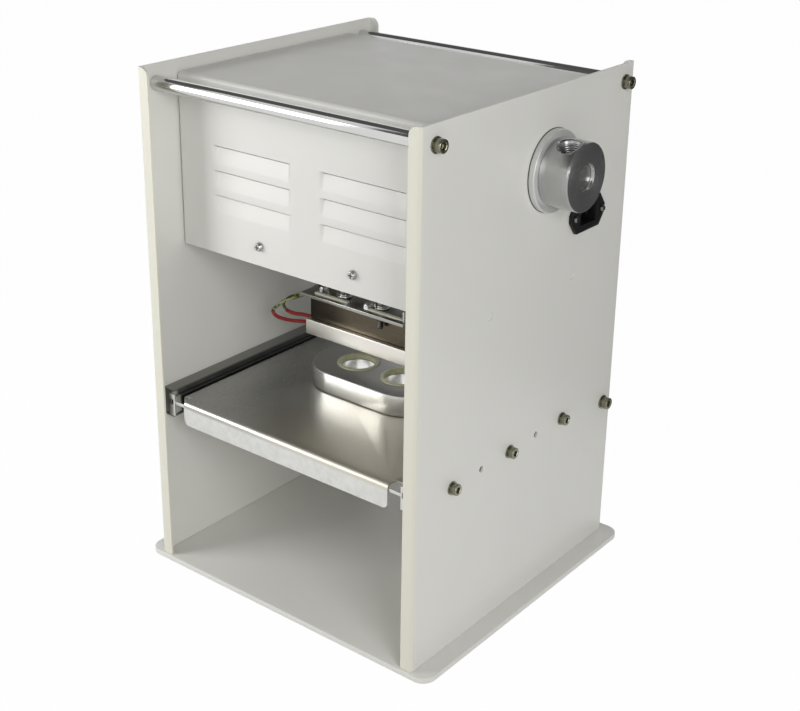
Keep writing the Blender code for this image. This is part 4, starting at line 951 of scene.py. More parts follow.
def tray_finish(colour, top):
    """Scuffed sheet steel, rougher to the right, with a painted reflection: darker left, warmer
    right; the lip below the rolled edge is lighter and mottled.
    """
    finish = Finish("tray_steel", colour, 0.25, 1.0)
    cloud = finish.grain(26, (1, 0.6, 1), 4.0)
    lines = finish.grain(1100, (1, 0.35, 1), 4.0)
    lip = finish.along("Z", top - 0.004, top - 0.0065)
    # One mask along X: rougher to the right, and a painted reflection in the colour, dark left and
    # warm right.
    wear_and_painted_reflection = finish.along("X", -0.075, 0.02)
    rough = finish.total(finish.spread(wear_and_painted_reflection, 0.0, 0.14, 0.0, 1.0),
                         finish.spread(lines, 0.24, 0.38))
    # Painted reflection: the warm tint of the bright right part of the tray.
    painted_warm_reflection = [c * k for c, k in zip(colour, (1.12, 1.07, 0.97))]
    tone = finish.blend(wear_and_painted_reflection, finish.shades(cloud, 0.72, 0.88), painted_warm_reflection)
    mottled = finish.shades(finish.grain(160, (1, 1, 1), 6.0), 1.1, 1.5)
    return finish.vary(finish.blend(lip, tone, mottled), rough, lines, 0.00001, 0.2)


def build_tray(settings):
    steel = tray_finish(settings.colours.sheet_steel, corners("tray_sheet")[1].z)
    piece("tray_top", tray_shape(), "tray", steel, ["tray_sheet"])


RING_FIT = 0.0002                  # round a ring in its seat
RING_LEDGE = 0.0036                # width of the ledge that a ring lies on
RING_WALL = 0.0035
SEAT_CHAMFER = 0.0013


def mould_shape():
    """A block with round ends and two stepped bores."""
    low, high = corners("capsule_mould")
    centre = middle("capsule_mould")
    radius = (high.y - low.y) / 2
    reach = (high.x - low.x) / 2 - radius
    outline = arc((reach, 0), radius, -90, 90, 40) + arc((-reach, 0), radius, 90, 270, 40)
    body = prism(outline, low.z, high.z, at((centre.x, centre.y, 0)), 0.0007)
    tools = []
    ring_low, ring_high = corners("silicone_ring_left")
    outer = (ring_high.x - ring_low.x) / 2 + RING_FIT
    inner, seat = outer - RING_LEDGE, ring_low.z - RING_FIT
    for side, _ in SIDES:
        spot = middle(f"silicone_ring_{side}")
        profile = [(0, low.z - 0.01), (inner, low.z - 0.01), (inner, seat), (outer, seat),
                   (outer, high.z - 0.0003), (outer + SEAT_CHAMFER, high.z + 0.001),
                   (0, high.z + 0.001)]
        tools.append(turned(profile, at((spot.x, spot.y, 0)), 64))
    return worked(body, [], tools)


def mould_finish(colour, height):
    """Aluminium with a bright side and a duller top, painted darker as painted shade."""
    finish = Finish("mould_aluminium", colour, 0.3, 1.0)
    top = finish.along("Z", height - 0.0012, height - 0.0003)
    lines = finish.grain(800, (0.04, 1, 1), 3.0)
    rough = finish.total(finish.spread(lines, 0.23, 0.26),
                         finish.spread(top, 0.0, 0.24, 0.0, 1.0))
    cloud = finish.grain(40)
    # Painted shade: the top 1.2 mm is coloured at about half the side's tone.
    tone = finish.blend(top, finish.shades(cloud, 1.00, 1.10), finish.shades(cloud, 0.50, 0.56))
    return finish.vary(tone, rough, finish.grain(120), 0.000004, 0.1)


def build_mould(settings):
    metal = mould_finish(settings.colours.mould, corners("capsule_mould")[1].z)
    piece("mould_block", mould_shape(), "tray", metal, ["capsule_mould"], 20)
    rubber = silicone_rubber("ring_silicone", settings.colours.silicone)
    for side, _ in SIDES:
        node = f"silicone_ring_{side}"
        low, high = corners(node)
        spot = middle(node)
        outer = (high.x - low.x) / 2
        inner = outer - RING_WALL
        profile = fillet([(inner, low.z), (outer, low.z), (outer, high.z), (inner, high.z)],
                         0.0011, 5)
        piece(f"{node}_soft", turned(profile, at((spot.x, spot.y, 0)), 64, True), "tray",
              rubber, [node])


# ---------------------------------------------------------------- press head
def hex_bolt(place, across, tall, shank, length):
    """A hexagon head on local +Z with its shank below."""
    flat = hexagon(across / 2)
    head = [(0, 0), (flat, 0), (flat, tall * 0.85), (across * 0.47, tall), (0, tall)]
    return merged(turned(head, place, 48), bar(shank, -length, 0.0002, 0.0004, place, 24, 2))


CARTRIDGE_BORE = 0.0096
CARTRIDGE_BORE_DEPTH = 0.092
# On the top plate, places are across from its middle and back from its front.
STRIPS = (("left", -0.043, -0.007), ("right", 0.015, 0.052))
STRIP_SETBACK = 0.0045
STRIP_WIDTH = 0.0034
STRIP_HEIGHT = 0.0014
PLATE_SCREWS = ((-0.041, 0.0145), (0.0125, 0.0085), (0.041, 0.0600), (-0.041, 0.0600))
PLATE_SCREW = {"across": 0.0070, "tall": 0.0042, "shank": 0.0019, "length": 0.0015}
STUD_PLACE = (0.0275, 0.0056)
STUD_PITCH = 0.001
STUD_THREAD = (0.0027, 0.0023)     # radius of its crests and roots
STUD_TURNS = 9
STUD_LENGTH = 0.0098
PIN_PLACE = (0.0535, 0.0035)


def build_head(settings):
    colours = settings.colours
    plate = brushed("sealing_aluminium", (0.80, 0.775, 0.72), (0.03, 1, 1), 0.30, 0.40, 900, 0.2,
                    0.000006)
    low, high = corners("sealing_plate")
    bore = middle("cartridge_heater")
    radius, depth = CARTRIDGE_BORE / 2, CARTRIDGE_BORE_DEPTH
    tool = turned([(0, -0.01), (radius, -0.01), (radius, depth), (0, depth)],
                  at((low.x, bore.y, bore.z), "X"), 40)
    piece("sealing_face", worked(block(low, high, 0.0006), [], [tool]), "head", plate,
          ["sealing_plate"])
    low, high = corners("heater_block")
    tinted = heat_tinted("heated_steel", colours.heated_steel, low.x, high.x)
    piece("heated_block", block(low, high, 0.0005), "head", tinted,
          ["heater_block"])
    zinc = mottled_zinc("head_zinc", (0.60, 0.60, 0.585))
    rod_low, rod_high = corners("cartridge_heater")
    shape = bar((rod_high.z - rod_low.z) / 2, 0, rod_high.x - rod_low.x, 0.0006,
                at((rod_low.x, bore.y, bore.z), "X"), 32)
    piece("cartridge", shape, "head", zinc, ["cartridge_heater"])
    steel = brushed("head_steel", (0.36, 0.355, 0.33), (0.04, 1, 1), 0.18, 0.30, 800)
    low, high = corners("head_top_plate")
    piece("head_plate", block(low, high, 0.0004, 2), "head", steel,
          ["head_top_plate"])
    build_head_fittings(low, high)


def build_head_fittings(low, high):
    """What stands on the head's top plate: insulating strips, screws, a hanging bolt."""
    axis = (low.x + high.x) / 2
    board = plastic("insulating_board", (0.74, 0.72, 0.60), 0.55, 0.7, 900)
    zinc = mottled_zinc("fitting_zinc", (0.50, 0.50, 0.49), 0.2, 0.4)
    front = low.y + STRIP_SETBACK
    for side, start, end in STRIPS:
        strip = between((axis + start, axis + end), (front, front + STRIP_WIDTH),
                        (high.z, high.z + STRIP_HEIGHT), 0.0003)
        piece(f"insulating_strip_{side}", strip, "head", board)
    for i, (x, y) in enumerate(PLATE_SCREWS):
        bolt = hex_bolt(at((axis + x, low.y + y, high.z)), **PLATE_SCREW)
        piece(f"plate_screw_{i}", bolt, "head", zinc)
    hang = at((axis + STUD_PLACE[0], low.y + STUD_PLACE[1], low.z))
    stem = [(0, STUD_PITCH)]
    crest, root = STUD_THREAD
    for turn in range(STUD_TURNS):
        stem += [(crest, -STUD_PITCH * turn), (root, -STUD_PITCH * (turn + 0.5))]
    stem += [(0.0021, -STUD_LENGTH), (0, -STUD_LENGTH)]
    dark = mottled_zinc("stud_steel", (0.22, 0.21, 0.19), 0.2, 0.35)
    piece("hanging_stud", turned(stem, hang, 24), "head", dark)
    place = at((axis + PIN_PLACE[0], low.y + PIN_PLACE[1], low.z - 0.0005))
    pin = bar(0.0011, 0, 0.0125, 0.0003, place, 20, 2)
    piece("side_pin", pin, "head", zinc)


POST_RADIUS = 0.005
COLLAR_HEIGHT = 0.005
COLLAR_DROP = 0.006                # collar's top below the post's


def build_posts(settings):
    steel = brushed("post_steel", settings.colours.steel, (1, 1, 0.2), 0.08, 0.16, 700,
                    depth=0.000004)
    for row in ("front", "rear"):
        for side, _ in SIDES:
            node = f"guide_post_{row}_{side}"
            low, high = corners(node)
            centre = middle(node)
            radius, collar = POST_RADIUS, (high.x - low.x) / 2
            tall = high.z - low.z
            seat = tall - COLLAR_DROP
            under = seat - COLLAR_HEIGHT
            profile = fillet([(0, 0), (radius, 0), (radius, under), (collar, under),
                              (collar, seat), (radius, seat), (radius, tall), (0, tall)],
                             0.0007, 3, False)
            shape = turned(profile, at((centre.x, centre.y, low.z)), 40)
            foot = fillet([(radius, 0.0001), (radius + 0.0022, 0.0001), (radius + 0.0022, 0.0012),
                           (radius, 0.0012)], 0.0003, 2)
            washer = turned(foot, at((centre.x, centre.y, low.z)), 40, True)
            piece(f"{node}_bar", merged(shape, washer), "head", steel, [node])


SPRING_TURNS = 7
SPRING_END = 0.1                   # share of the wire that is wound close at each end
SPRING_CLOSE = 0.3                 # pitch there as a share of the open pitch


def build_springs(settings):
    wire = settings.sizes.spring_wire
    steel = brushed("spring_wire", (0.33, 0.33, 0.335), (1, 1, 1), 0.25, 0.4, 900)
    for side, _ in SIDES:
        node = f"return_spring_{side}"
        low, high = corners(node)
        centre = middle(node)
        ring = (high.x - low.x) / 2 - wire / 2
        start, end = low.z + wire / 2, high.z - wire / 2
        last, open_end = SPRING_TURNS * 32, 1 - SPRING_END
        points = []
        for i in range(last + 1):
            share = i / last
            rise = (min(share, SPRING_END) * SPRING_CLOSE
                    + min(max(share - SPRING_END, 0), open_end - SPRING_END)
                    + max(share - open_end, 0) * SPRING_CLOSE)
            rise /= 1 - 2 * SPRING_END * (1 - SPRING_CLOSE)
            angle = 2 * math.pi * share * SPRING_TURNS
            points.append((centre.x + ring * math.cos(angle), centre.y + ring * math.sin(angle),
                           start + (end - start) * rise))
        coil = piece(f"{node}_coil", tube(points, wire / 2, 10), None, steel,
                     [node])
        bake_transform(coil)


LOWER_LOOP = ((-0.0003, 0, -0.0032), (-0.015, 0.0008, -0.0045), (-0.0315, 0.001, -0.0078),
              (-0.0455, 0, -0.0078), (-0.050, -0.0010, -0.0030), (-0.0445, -0.0015, 0.0030),
              (-0.035, -0.0005, 0.0105), (-0.018, 0.003, 0.0185), (-0.0065, 0.006, 0.027))
UPPER_LOOP = ((-0.0003, 0, 0.0032), (-0.014, 0.0008, 0.0021), (-0.027, 0.001, 0.0002),
              (-0.0365, 0.0014, 0.0012), (-0.0398, 0.0024, 0.0062), (-0.034, 0.0045, 0.0125),
              (-0.0185, 0.0068, 0.0205), (-0.0068, 0.0095, 0.0285))
LEAD_ABOVE_DECK = 0.045
SLEEVE_WALL = 0.00035


def lead_routes():
    """The routes of the leads, as in the frame: out of the head on the left, round, and up."""
    side = corners("sealing_plate")[0].x
    cartridge = middle("cartridge_heater")
    y, z = cartridge.y, cartridge.z
    over = corners("head_top_plate")[1].z
    deck = corners("mechanism_deck")[1].z
    under = deck - 0.002
    top = deck + LEAD_ABOVE_DECK
    routes = {}
    for name, loop, back, inward in (("lower", LOWER_LOOP, 0.007, 0.0095),
                                     ("upper", UPPER_LOOP, 0.0105, 0.011)):
        points = [(side + dx, y + dy, z + dz) for dx, dy, dz in loop]
        points += [(side - 0.003, y + back, over + 0.001),
                   (side + 0.001, y + back + 0.002, over + 0.010),
                   (side + inward, y + back + 0.003, under - 0.006),
                   (side + inward, y + back + 0.003, deck + 0.006),
                   (side + inward, y + back + 0.003, top)]
        routes[f"heater_lead_{name}"] = points
    side = corners("heater_block")[0].x
    y += 0.0135
    z = corners("heater_block")[0].z + 0.0087
    routes["thermocouple_lead"] = [
        (side - 0.0003, y, z), (side - 0.006, y, z + 0.0005), (side - 0.0098, y, z + 0.004),
        (side - 0.0095, y, z + 0.0105), (side - 0.006, y + 0.0005, over + 0.001),
        (side + 0.001, y + 0.002, over + 0.010), (side + 0.010, y + 0.0035, under - 0.006),
        (side + 0.010, y + 0.0035, deck + 0.006), (side + 0.010, y + 0.0035, top)]
    return routes


def build_leads(settings):
    sleeve = plastic("red_sleeve", settings.colours.red_sleeve, 0.35, 0.5, 1200)
    braid = glass_braid("glass_braid")
    for name, points in lead_routes().items():
        route = smooth_route(points, 0.0015)
        heater = name.startswith("heater")
        size = settings.sizes.lead if heater else settings.sizes.couple
        lead = piece(f"{name}_line", tube(route, size / 2, 12), None,
                     braid, [name], 60)
        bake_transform(lead)
        if heater:
            covered = [point for point in route if point.z < middle("cartridge_heater").z + 0.0008
                       or point.x > corners("sealing_plate")[0].x - 0.03]
            reach = min(range(len(covered)), key=lambda i: covered[i].x)
            piece(f"{name}_sleeve", tube(covered[:reach + 1], size / 2 + SLEEVE_WALL, 16), "head",
                  sleeve, (), 60)


# ---------------------------------------------------------------- lever hub
HUB_BORE = 0.0103
HUB_DISC = 0.0012                  # thickness of the disc left whole past the flat
HUB_RECESS = 0.0112                # radius of the recess round the shaft's end
SOCKET_RADIUS = 0.0080
SOCKET_FLOOR = 0.0125              # above the hub's axis
SOCKET_LIP = 0.0014                # depth of the socket's chamfer
THREAD_DEPTH = 0.0009


def flat_tool(low_x, disc_x, seat, level):
    """What the mill takes off over the flat, as far as the disc."""
    tool = block((-0.05, -0.05, level), (0.05, 0.05, 0.06))
    tool.transform(facing(HUB_AXIS, seat))
    for x, side in ((disc_x, 1), (low_x, -1)):
        bmesh.ops.bisect_plane(tool, geom=tool.verts[:] + tool.edges[:] + tool.faces[:],
                               plane_co=(x, 0, 0), plane_no=(side, 0, 0), clear_outer=True)
    bmesh.ops.holes_fill(tool, edges=tool.edges[:])
    bmesh.ops.recalc_face_normals(tool, faces=tool.faces)
    return tool


def socket_tool(mouth, seat, level, pitch):
    """What the threaded socket takes out of the hub."""
    radius, wide = SOCKET_RADIUS, SOCKET_RADIUS + 0.0016
    depth = level - SOCKET_LIP
    hole = [(0, level + 0.02), (wide, level + 0.02), (wide, level + 0.0003), (radius, depth)]
    while depth - pitch > SOCKET_FLOOR + 0.001:
        hole += [(radius, depth - 0.0003), (radius + THREAD_DEPTH, depth - pitch / 2),
                 (radius, depth - pitch + 0.0003)]
        depth -= pitch
    hole += [(radius, SOCKET_FLOOR), (0, SOCKET_FLOOR)]
    return turned(hole, facing(mouth, seat), 64)


def on_hub_axis(x):
    return at((x, HUB_AXIS.y, HUB_AXIS.z), "X")


def build_hub(settings):
    low, high = corners("lever_hub")
    seat, mark = Vector(LEVER_SEAT["axis"]), Vector(LEVER_SEAT["pos_m"])
    level = (mark - HUB_AXIS).dot(seat)
    mouth = Vector((mark.x, HUB_AXIS.y, HUB_AXIS.z))
    barrel = (high.y - low.y) / 2 + 0.00005
    disc, long = barrel - 0.0003, high.x - low.x
    profile = [(HUB_BORE, 0), (barrel, 0), (barrel, long - HUB_DISC), (disc, long - HUB_DISC),
               (disc, long), (HUB_RECESS, long), (HUB_RECESS - 0.0004, long - 0.002),
               (HUB_BORE, long - 0.002)]
    tools = [flat_tool(low.x - 0.001, high.x - HUB_DISC, seat, level),
             socket_tool(mouth, seat, level, settings.sizes.thread_pitch)]
    body = worked(turned(profile, on_hub_axis(low.x), 96, True), [broken(0.0004, 3, 30)], tools)
    # Painted shade: the flat and the inside of the socket take the second, near-black material.
    for face in body.faces:
        centre = face.calc_center_median()
        off = centre - mouth
        aside = (off - seat * off.dot(seat)).length
        over = (centre - HUB_AXIS).dot(seat) - level
        flat = face.normal.dot(seat) > 0.999 and abs(over) < 0.0001
        if flat or (aside < SOCKET_RADIUS + 0.0002 and off.dot(seat) > 0):
            face.material_index = 1
    metal = turned_metal("hub_aluminium", settings.colours.hub, 0.18, 0.25, "X", 0.75, 0.78)
    # Painted shade on the flat and in the socket: near-black metal.
    painted_dark_flat = brushed("flat_painted_dark", (0.13, 0.13, 0.13), (0.05, 1, 1), 0.20, 0.30, 900)
    hub = piece("hub", body, "lever", metal, ["lever_hub"])
    hub.data.materials.append(painted_dark_flat)
    low, high = corners("pinion_shaft")
    steel = mottled_zinc("shaft_steel", (0.42, 0.42, 0.41), 0.30, 0.38)
    shape = bar((high.z - low.z) / 2, 0, high.x - low.x, 0.0008, on_hub_axis(low.x), 48)
    piece("shaft", shape, "lever", steel, ["pinion_shaft"])
    build_bearing()


def build_bearing():
    """The flanged bearing of the shaft, with a thin dark ring round it at the panel as a painted
    contact shadow.
    """
    low, high = corners("shaft_bearing")
    panel = corners("right_side_panel")[1].x
    radius, neck = (high.z - low.z) / 2, BEARING_HOLE / 2 - 0.0003
    profile = fillet([(HUB_BORE, high.x), (radius, high.x), (radius, panel + 0.0002),
                      (neck, panel + 0.0002), (neck, low.x), (HUB_BORE, low.x)], 0.0009, 4)
    finish = Finish("bearing_aluminium", (0.66, 0.665, 0.65), 0.4, 0.5, Coat_Weight=0.1)
    satin = finish.vary(finish.shades(finish.grain(50), 0.95, 1.02),
                        finish.spread(finish.grain(300), 0.34, 0.48), finish.grain(1500), 0.00003,
                        0.3)
    piece("bearing", turned(profile, on_hub_axis(0), 96, True), "frame", satin,
          ["shaft_bearing"])
    # Painted shadow: a thin near-black ring, a little wider than the flange, on the panel.
    inner, outer = 0.018, radius + 0.0004
    shadow_outline = fillet([(inner, 0), (outer, 0), (outer, 0.0006), (inner, 0.0006)], 0.0002, 2)
    dark = plastic("painted_contact_shadow", (0.05, 0.05, 0.048), 0.6, 0.75)
    piece("bearing_shadow_ring", turned(shadow_outline, on_hub_axis(panel + 0.0001), 96, True), "frame",
          dark)


# ---------------------------------------------------------------- electrics
def build_inlet(settings):
    black = plastic("inlet_plastic", (0.006, 0.006, 0.0065), 0.30, 0.42,
                    Specular_IOR_Level=0.25)
    broken_copy("inlet", "power_inlet", "frame", black, 0.0006)
    zinc = mottled_zinc("inlet_steel", (0.16, 0.16, 0.16), 0.2, 0.35)
    face = corners("power_inlet")[1].x
    for row in ("front", "rear"):
        node = f"inlet_screw_{row}"
        low, high = corners(node)
        centre = middle(node)
        shape = pan_screw(facing((face, centre.y, centre.z), (1, 0, 0)), (high.z - low.z) / 2,
                          high.x - face, 0.0014)
        piece(f"{node}_detail", shape, "frame", zinc, [node])


def build_controls(settings):
    black = plastic("control_plastic", (0.014, 0.014, 0.015), 0.3, 0.45)
    glossy = plastic("rocker_plastic", (0.02, 0.02, 0.021), 0.18, 0.28, 2400)
    broken_copy("switch_bezel", "switch_body", "frame", black, 0.0005)
    broken_copy("rocker", "switch_rocker", "rocker", glossy, 0.0005)
    zinc = mottled_zinc("thermostat_zinc", (0.55, 0.55, 0.54))
    broken_copy("thermostat_can", "thermostat_body", "frame", zinc, 0.0006)
    low, high = corners("thermostat_knob")
    centre = middle("thermostat_knob")
    radius, tall = (high.x - low.x) / 2, high.y - low.y

    def ribbed(base, depth):
        return lambda angle: base - depth * (0.5 + 0.5 * math.cos(24 * angle)) ** 2

    profile = [(0, 0.004), (0.0055, 0.004), (0.0055, 0), (radius, 0), (radius, 0.0016),
               (radius * 0.86, 0.003), (ribbed(radius * 0.85, 0.0007), 0.0034),
               (ribbed(radius * 0.80, 0.0007), tall - 0.0020), (radius * 0.755, tall - 0.0006),
               (radius * 0.70, tall), (0, tall)]
    piece("knob", turned(profile, at((centre.x, low.y, centre.z), "Y"), 144), "knob",
          black, ["thermostat_knob"])
    white = plastic("pointer_white", (0.80, 0.80, 0.78), 0.4, 0.5)
    piece("knob_pointer", block((centre.x - 0.0006, high.y - 0.0004, centre.z + radius * 0.25),
                                (centre.x + 0.0006, high.y + 0.0001, centre.z + radius * 0.66),
                                0.00015), "knob", white)
    marks = []
    back = corners("housing_cover")[1].y
    for i in range(11):
        angle = math.radians(-135 + 27 * i)
        mark = block((-0.00035, -0.00002, radius + 0.0022), (0.00035, 0.00012, radius + 0.0052))
        mark.transform(Matrix.Translation((centre.x, back, centre.z))
                       @ Matrix.Rotation(angle, 4, "Y"))
        marks.append(mark)
    ink = plastic("scale_ink", (0.03, 0.03, 0.03), 0.5, 0.6)
    piece("knob_scale", merged(*marks), "frame", ink)


def build_mechanism(settings):
    colours = settings.colours
    zinc = mottled_zinc("deck_zinc", (0.58, 0.585, 0.57))
    broken_copy("deck", "mechanism_deck", "frame", zinc, 0.0003, 2)
    cast = brushed("press_aluminium", colours.aluminium, (1, 1, 0.1), 0.32, 0.5, 500)
    broken_copy("press_guide", "press_body", "frame", cast, 0.0006)
    steel = brushed("gear_steel", colours.sheet_steel, (0.05, 1, 1), 0.24, 0.4, 900)
    broken_copy("pinion", "pinion_gear", "lever", steel, 0.0002, 1, 50)
    rack = brushed("rack_steel", colours.sheet_steel, (1, 1, 0.04), 0.22, 0.38, 900)
    broken_copy("rack", "ram_rack", "head", rack, 0.0002, 1)


# ---------------------------------------------------------------- stage
CAMERA_PLACE = Vector((0.6892, -0.8723, 0.6867))
CAMERA_TURN = math.radians(38.01)
CAMERA_FALL = math.radians(21.39)
CAMERA_ROLL = math.radians(0.90)
CAMERA_SHIFT = (-0.0063, -0.080)


def camera_matrix():
    turn, fall, roll = CAMERA_TURN, CAMERA_FALL, CAMERA_ROLL
    ahead = Vector((-math.sin(turn) * math.cos(fall), math.cos(turn) * math.cos(fall),
                    -math.sin(fall)))
    right = Vector((math.cos(turn), math.sin(turn), 0))
    up = right.cross(ahead)
    right, up = (math.cos(roll) * right + math.sin(roll) * up,
                 math.cos(roll) * up - math.sin(roll) * right)
    matrix = Matrix((right, up, -ahead)).transposed().to_4x4()
    matrix.translation = CAMERA_PLACE
    return matrix


def aimed(name, data, place, aim):
    obj = linked(name, data)
    obj.location = place
    obj.rotation_euler = (Vector(place) - Vector(aim)).to_track_quat("Z", "Y").to_euler()
    return obj


def lamp(name, place, aim, size, power):
    data = bpy.data.lights.new(name, "AREA")
    data.shape = "RECTANGLE"
    data.size, data.size_y = size
    data.energy = power
    aimed(name, data, place, aim)


def card(name, place, aim, size, tone):
    """A card that only glossy surfaces see, dark or light, so that they have a room to mirror."""
    mesh = mesh_of(name, block((-size[0] / 2, -size[1] / 2, -0.002),
                               (size[0] / 2, size[1] / 2, 0.002)))
    material = bpy.data.materials.new(name)
    material.use_nodes = True
    tree = material.node_tree
    glow = tree.nodes.new("ShaderNodeEmission")
    glow.inputs["Color"].default_value = (tone, tone, tone, 1.0)
    tree.links.new(glow.outputs[0], tree.nodes["Material Output"].inputs["Surface"])
    mesh.materials.append(material)
    obj = aimed(name, mesh, place, aim)
    obj.visible_camera = obj.visible_diffuse = obj.visible_shadow = False
    obj.visible_transmission = False


def lit_to_eye(tree, shader, colour, keep):
    """Mixes a shader with plain white for what the camera, gloss and glass see of it."""
    path = tree.nodes.new("ShaderNodeLightPath")
    seen = path.outputs["Is Camera Ray"]
    for label in ("Is Glossy Ray", "Is Transmission Ray"):
        either = tree.nodes.new("ShaderNodeMath")
        either.operation = "MAXIMUM"
        tree.links.new(seen, either.inputs[0])
        tree.links.new(path.outputs[label], either.inputs[1])
        seen = either.outputs[0]
    share = tree.nodes.new("ShaderNodeMath")
    share.operation = "MULTIPLY"
    tree.links.new(seen, share.inputs[0])
    share.inputs[1].default_value = keep
    glow = tree.nodes.new("ShaderNodeEmission" if keep < 1 else "ShaderNodeBackground")
    glow.inputs["Color"].default_value = (*colour, 1.0)
    mix = tree.nodes.new("ShaderNodeMixShader")
    tree.links.new(share.outputs[0], mix.inputs[0])
    tree.links.new(shader, mix.inputs[1])
    tree.links.new(glow.outputs[0], mix.inputs[2])
    return mix.outputs[0]


def build_stage(settings):
    stage = settings.stage
    scene = bpy.context.scene
    scene.view_settings.view_transform = "Standard"
    world = bpy.data.worlds.new("studio")
    world.use_nodes = True
    tree = world.node_tree
    ground = tree.nodes["Background"]
    ground.inputs["Color"].default_value = (1.0, 1.0, 0.985, 1.0)
    sky = tree.nodes.new("ShaderNodeTexCoord")
    parts = tree.nodes.new("ShaderNodeSeparateXYZ")
    level = tree.nodes.new("ShaderNodeMapRange")
    level.inputs["To Min"].default_value = stage.horizon
    level.inputs["To Max"].default_value = stage.zenith
    tree.links.new(sky.outputs["Generated"], parts.inputs[0])
    tree.links.new(parts.outputs["Z"], level.inputs["Value"])
    tree.links.new(level.outputs["Result"], ground.inputs["Strength"])
    out = tree.nodes["World Output"]
    tree.links.new(lit_to_eye(tree, ground.outputs[0], (1, 1, 1), 1.0), out.inputs["Surface"])
    scene.world = world
    mesh = mesh_of("floor", prism(arc((0, 0), 6.0, 0, 354, 59), -0.01, 0.0))
    floor = linked("floor", mesh)
    finish = Finish("floor_paper", (0.80, 0.80, 0.795), 0.9)
    finish.vary(finish.shades(finish.grain(3), 0.985, 1.0), None, finish.grain(300), 0.0001, 0.1)
    tree = finish.tree
    tone = stage.floor
    surface = lit_to_eye(tree, finish.shader.outputs[0], (tone, tone, tone), 0.985)
    tree.links.new(surface, tree.nodes["Material Output"].inputs["Surface"])
    mesh.materials.append(finish.material)
    lamp("key", (-0.70, -0.76, 0.54), (0, 0, 0.20), (0.5, 0.55), stage.key)
    lamp("side", (1.4, -0.9, 0.85), (0, 0, 0.3), (0.7, 0.7), stage.side)
    card("ceiling_card", (0, 0.1, 2.2), (0, 0.1, 0.2), (6.0, 6.0), 0.10)
    card("upper_card", (-1.39, -1.1, 1.5), (-1.39, 0, 0.43), (1.22, 1.6), 0.90)
    card("rear_card", (0.85, 1.35, 0.20), (0.16, 0, 0.30), (1.5, 0.9), 0.11)
    card("rear_mat", (0.80, 0.90, 0.006), (0.80, 0.90, 1.0), (1.3, 1.1), 0.12)
    data = bpy.data.cameras.new("camera")
    data.lens = stage.lens
    data.sensor_width = 36.0
    data.shift_x, data.shift_y = CAMERA_SHIFT
    data.clip_start = 0.01
    camera = linked("camera", data)
    camera.matrix_world = camera_matrix()
    scene.camera = camera


# ---------------------------------------------------------------- add-on
class SealerSettings(bpy.types.PropertyGroup):
    """All the settings of the machine and its stage."""

    colours: PointerProperty(type=SealerColours)
    sizes: PointerProperty(type=SealerSizes)
    stage: PointerProperty(type=SealerStage)


class Step:
    """What every step does when it is called."""

    def execute(self, context):
        self.build(context.scene.sealer)
        return {"FINISHED"}


class SEALER_OT_base(Step, bpy.types.Operator):
    """Builds the base plate and its four feet."""

    bl_idname = "sealer.base"
    bl_label = "Base and feet"
    build = staticmethod(build_base)


class SEALER_OT_panels(Step, bpy.types.Operator):
    """Builds the two folded side panels."""

    bl_idname = "sealer.panels"
    bl_label = "Side panels"
    build = staticmethod(build_panels)


class SEALER_OT_rods(Step, bpy.types.Operator):
    """Builds the three tie rods between the panels."""

    bl_idname = "sealer.rods"
    bl_label = "Tie rods"
    build = staticmethod(build_rods)


class SEALER_OT_fixings(Step, bpy.types.Operator):
    """Builds the screws of the frame, the slides and the cover."""

    bl_idname = "sealer.fixings"
    bl_label = "Screws"
    build = staticmethod(build_fixings)


class SEALER_OT_cover(Step, bpy.types.Operator):
    """Builds the louvred cover of the housing."""

    bl_idname = "sealer.cover"
    bl_label = "Housing cover"
    build = staticmethod(build_cover)


class SEALER_OT_slides(Step, bpy.types.Operator):
    """Builds the tray's telescopic slides."""

    bl_idname = "sealer.slides"
    bl_label = "Slides"
    build = staticmethod(build_slides)


class SEALER_OT_tray(Step, bpy.types.Operator):
    """Builds the sliding tray."""

    bl_idname = "sealer.tray"
    bl_label = "Tray"
    build = staticmethod(build_tray)


class SEALER_OT_mould(Step, bpy.types.Operator):
    """Builds the cup mould and its seal rings."""

    bl_idname = "sealer.mould"
    bl_label = "Mould and rings"
    build = staticmethod(build_mould)


class SEALER_OT_head(Step, bpy.types.Operator):
    """Builds the sealing plate, the heater block and the top plate."""

    bl_idname = "sealer.head"
    bl_label = "Press head"
    build = staticmethod(build_head)


class SEALER_OT_posts(Step, bpy.types.Operator):
    """Builds the four guide posts."""

    bl_idname = "sealer.posts"
    bl_label = "Guide posts"
    build = staticmethod(build_posts)


class SEALER_OT_springs(Step, bpy.types.Operator):
    """Builds the springs that lift the head."""

    bl_idname = "sealer.springs"
    bl_label = "Return springs"
    build = staticmethod(build_springs)


class SEALER_OT_leads(Step, bpy.types.Operator):
    """Builds the heater's and the thermocouple's leads."""

    bl_idname = "sealer.leads"
    bl_label = "Heater leads"
    build = staticmethod(build_leads)


class SEALER_OT_hub(Step, bpy.types.Operator):
    """Builds the lever hub, its shaft and its bearing."""

    bl_idname = "sealer.hub"
    bl_label = "Lever hub"
    build = staticmethod(build_hub)


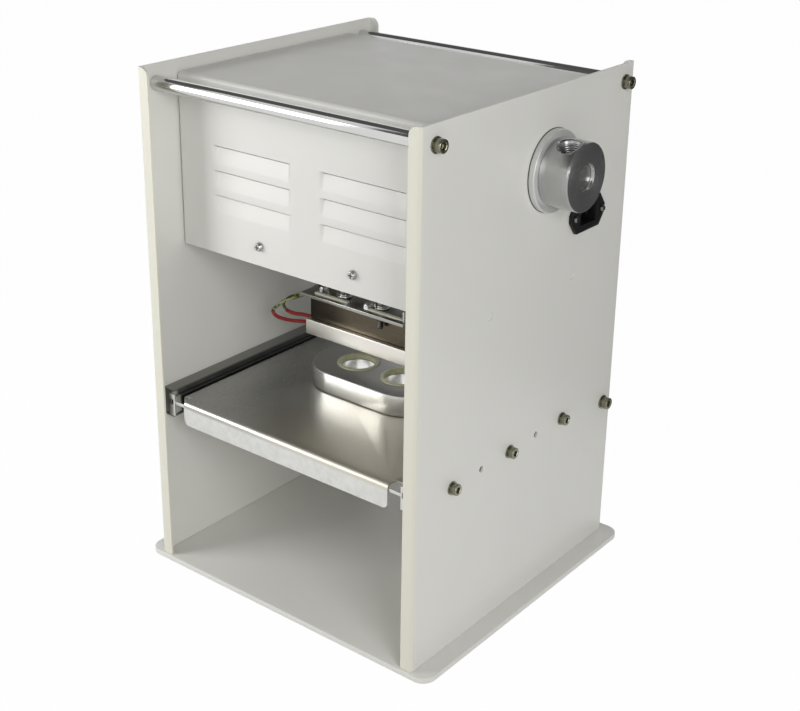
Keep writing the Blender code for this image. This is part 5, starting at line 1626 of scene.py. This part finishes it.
class SEALER_OT_inlet(Step, bpy.types.Operator):
    """Builds the power inlet and its screws."""

    bl_idname = "sealer.inlet"
    bl_label = "Power inlet"
    build = staticmethod(build_inlet)


class SEALER_OT_controls(Step, bpy.types.Operator):
    """Builds the switch and the thermostat on the rear."""

    bl_idname = "sealer.controls"
    bl_label = "Rear controls"
    build = staticmethod(build_controls)


class SEALER_OT_mechanism(Step, bpy.types.Operator):
    """Builds the deck, the press guide, the rack and the pinion."""

    bl_idname = "sealer.mechanism"
    bl_label = "Press mechanism"
    build = staticmethod(build_mechanism)


class SEALER_OT_stage(Step, bpy.types.Operator):
    """Adds the floor, the lamps, the world and the camera."""

    bl_idname = "sealer.stage"
    bl_label = "Stage"
    build = staticmethod(build_stage)


STEPS = (
    SEALER_OT_base,
    SEALER_OT_panels,
    SEALER_OT_rods,
    SEALER_OT_fixings,
    SEALER_OT_cover,
    SEALER_OT_slides,
    SEALER_OT_tray,
    SEALER_OT_mould,
    SEALER_OT_head,
    SEALER_OT_posts,
    SEALER_OT_springs,
    SEALER_OT_leads,
    SEALER_OT_hub,
    SEALER_OT_inlet,
    SEALER_OT_controls,
    SEALER_OT_mechanism,
    SEALER_OT_stage,
)


class SEALER_PT_panel(bpy.types.Panel):
    """Lists the machine's settings and the steps that build it."""

    bl_idname = "SEALER_PT_panel"
    bl_label = "Cup sealing machine"
    bl_space_type = "VIEW_3D"
    bl_region_type = "UI"
    bl_category = "Sealer"

    def draw(self, context):
        settings = context.scene.sealer
        for group in (settings.colours, settings.sizes, settings.stage):
            box = self.layout.box()
            for name in type(group).__annotations__:
                box.prop(group, name)
        for step in STEPS:
            self.layout.operator(step.bl_idname)


CLASSES = (SealerColours, SealerSizes, SealerStage, SealerSettings, *STEPS, SEALER_PT_panel)


def register():
    for item in CLASSES:
        bpy.utils.register_class(item)
    bpy.types.Scene.sealer = PointerProperty(type=SealerSettings)


def unregister():
    del bpy.types.Scene.sealer
    for item in reversed(CLASSES):
        bpy.utils.unregister_class(item)


def main():
    register()
    for step in STEPS:
        group, name = step.bl_idname.split(".")
        getattr(getattr(bpy.ops, group), name)()


if __name__ == "__main__":
    main()
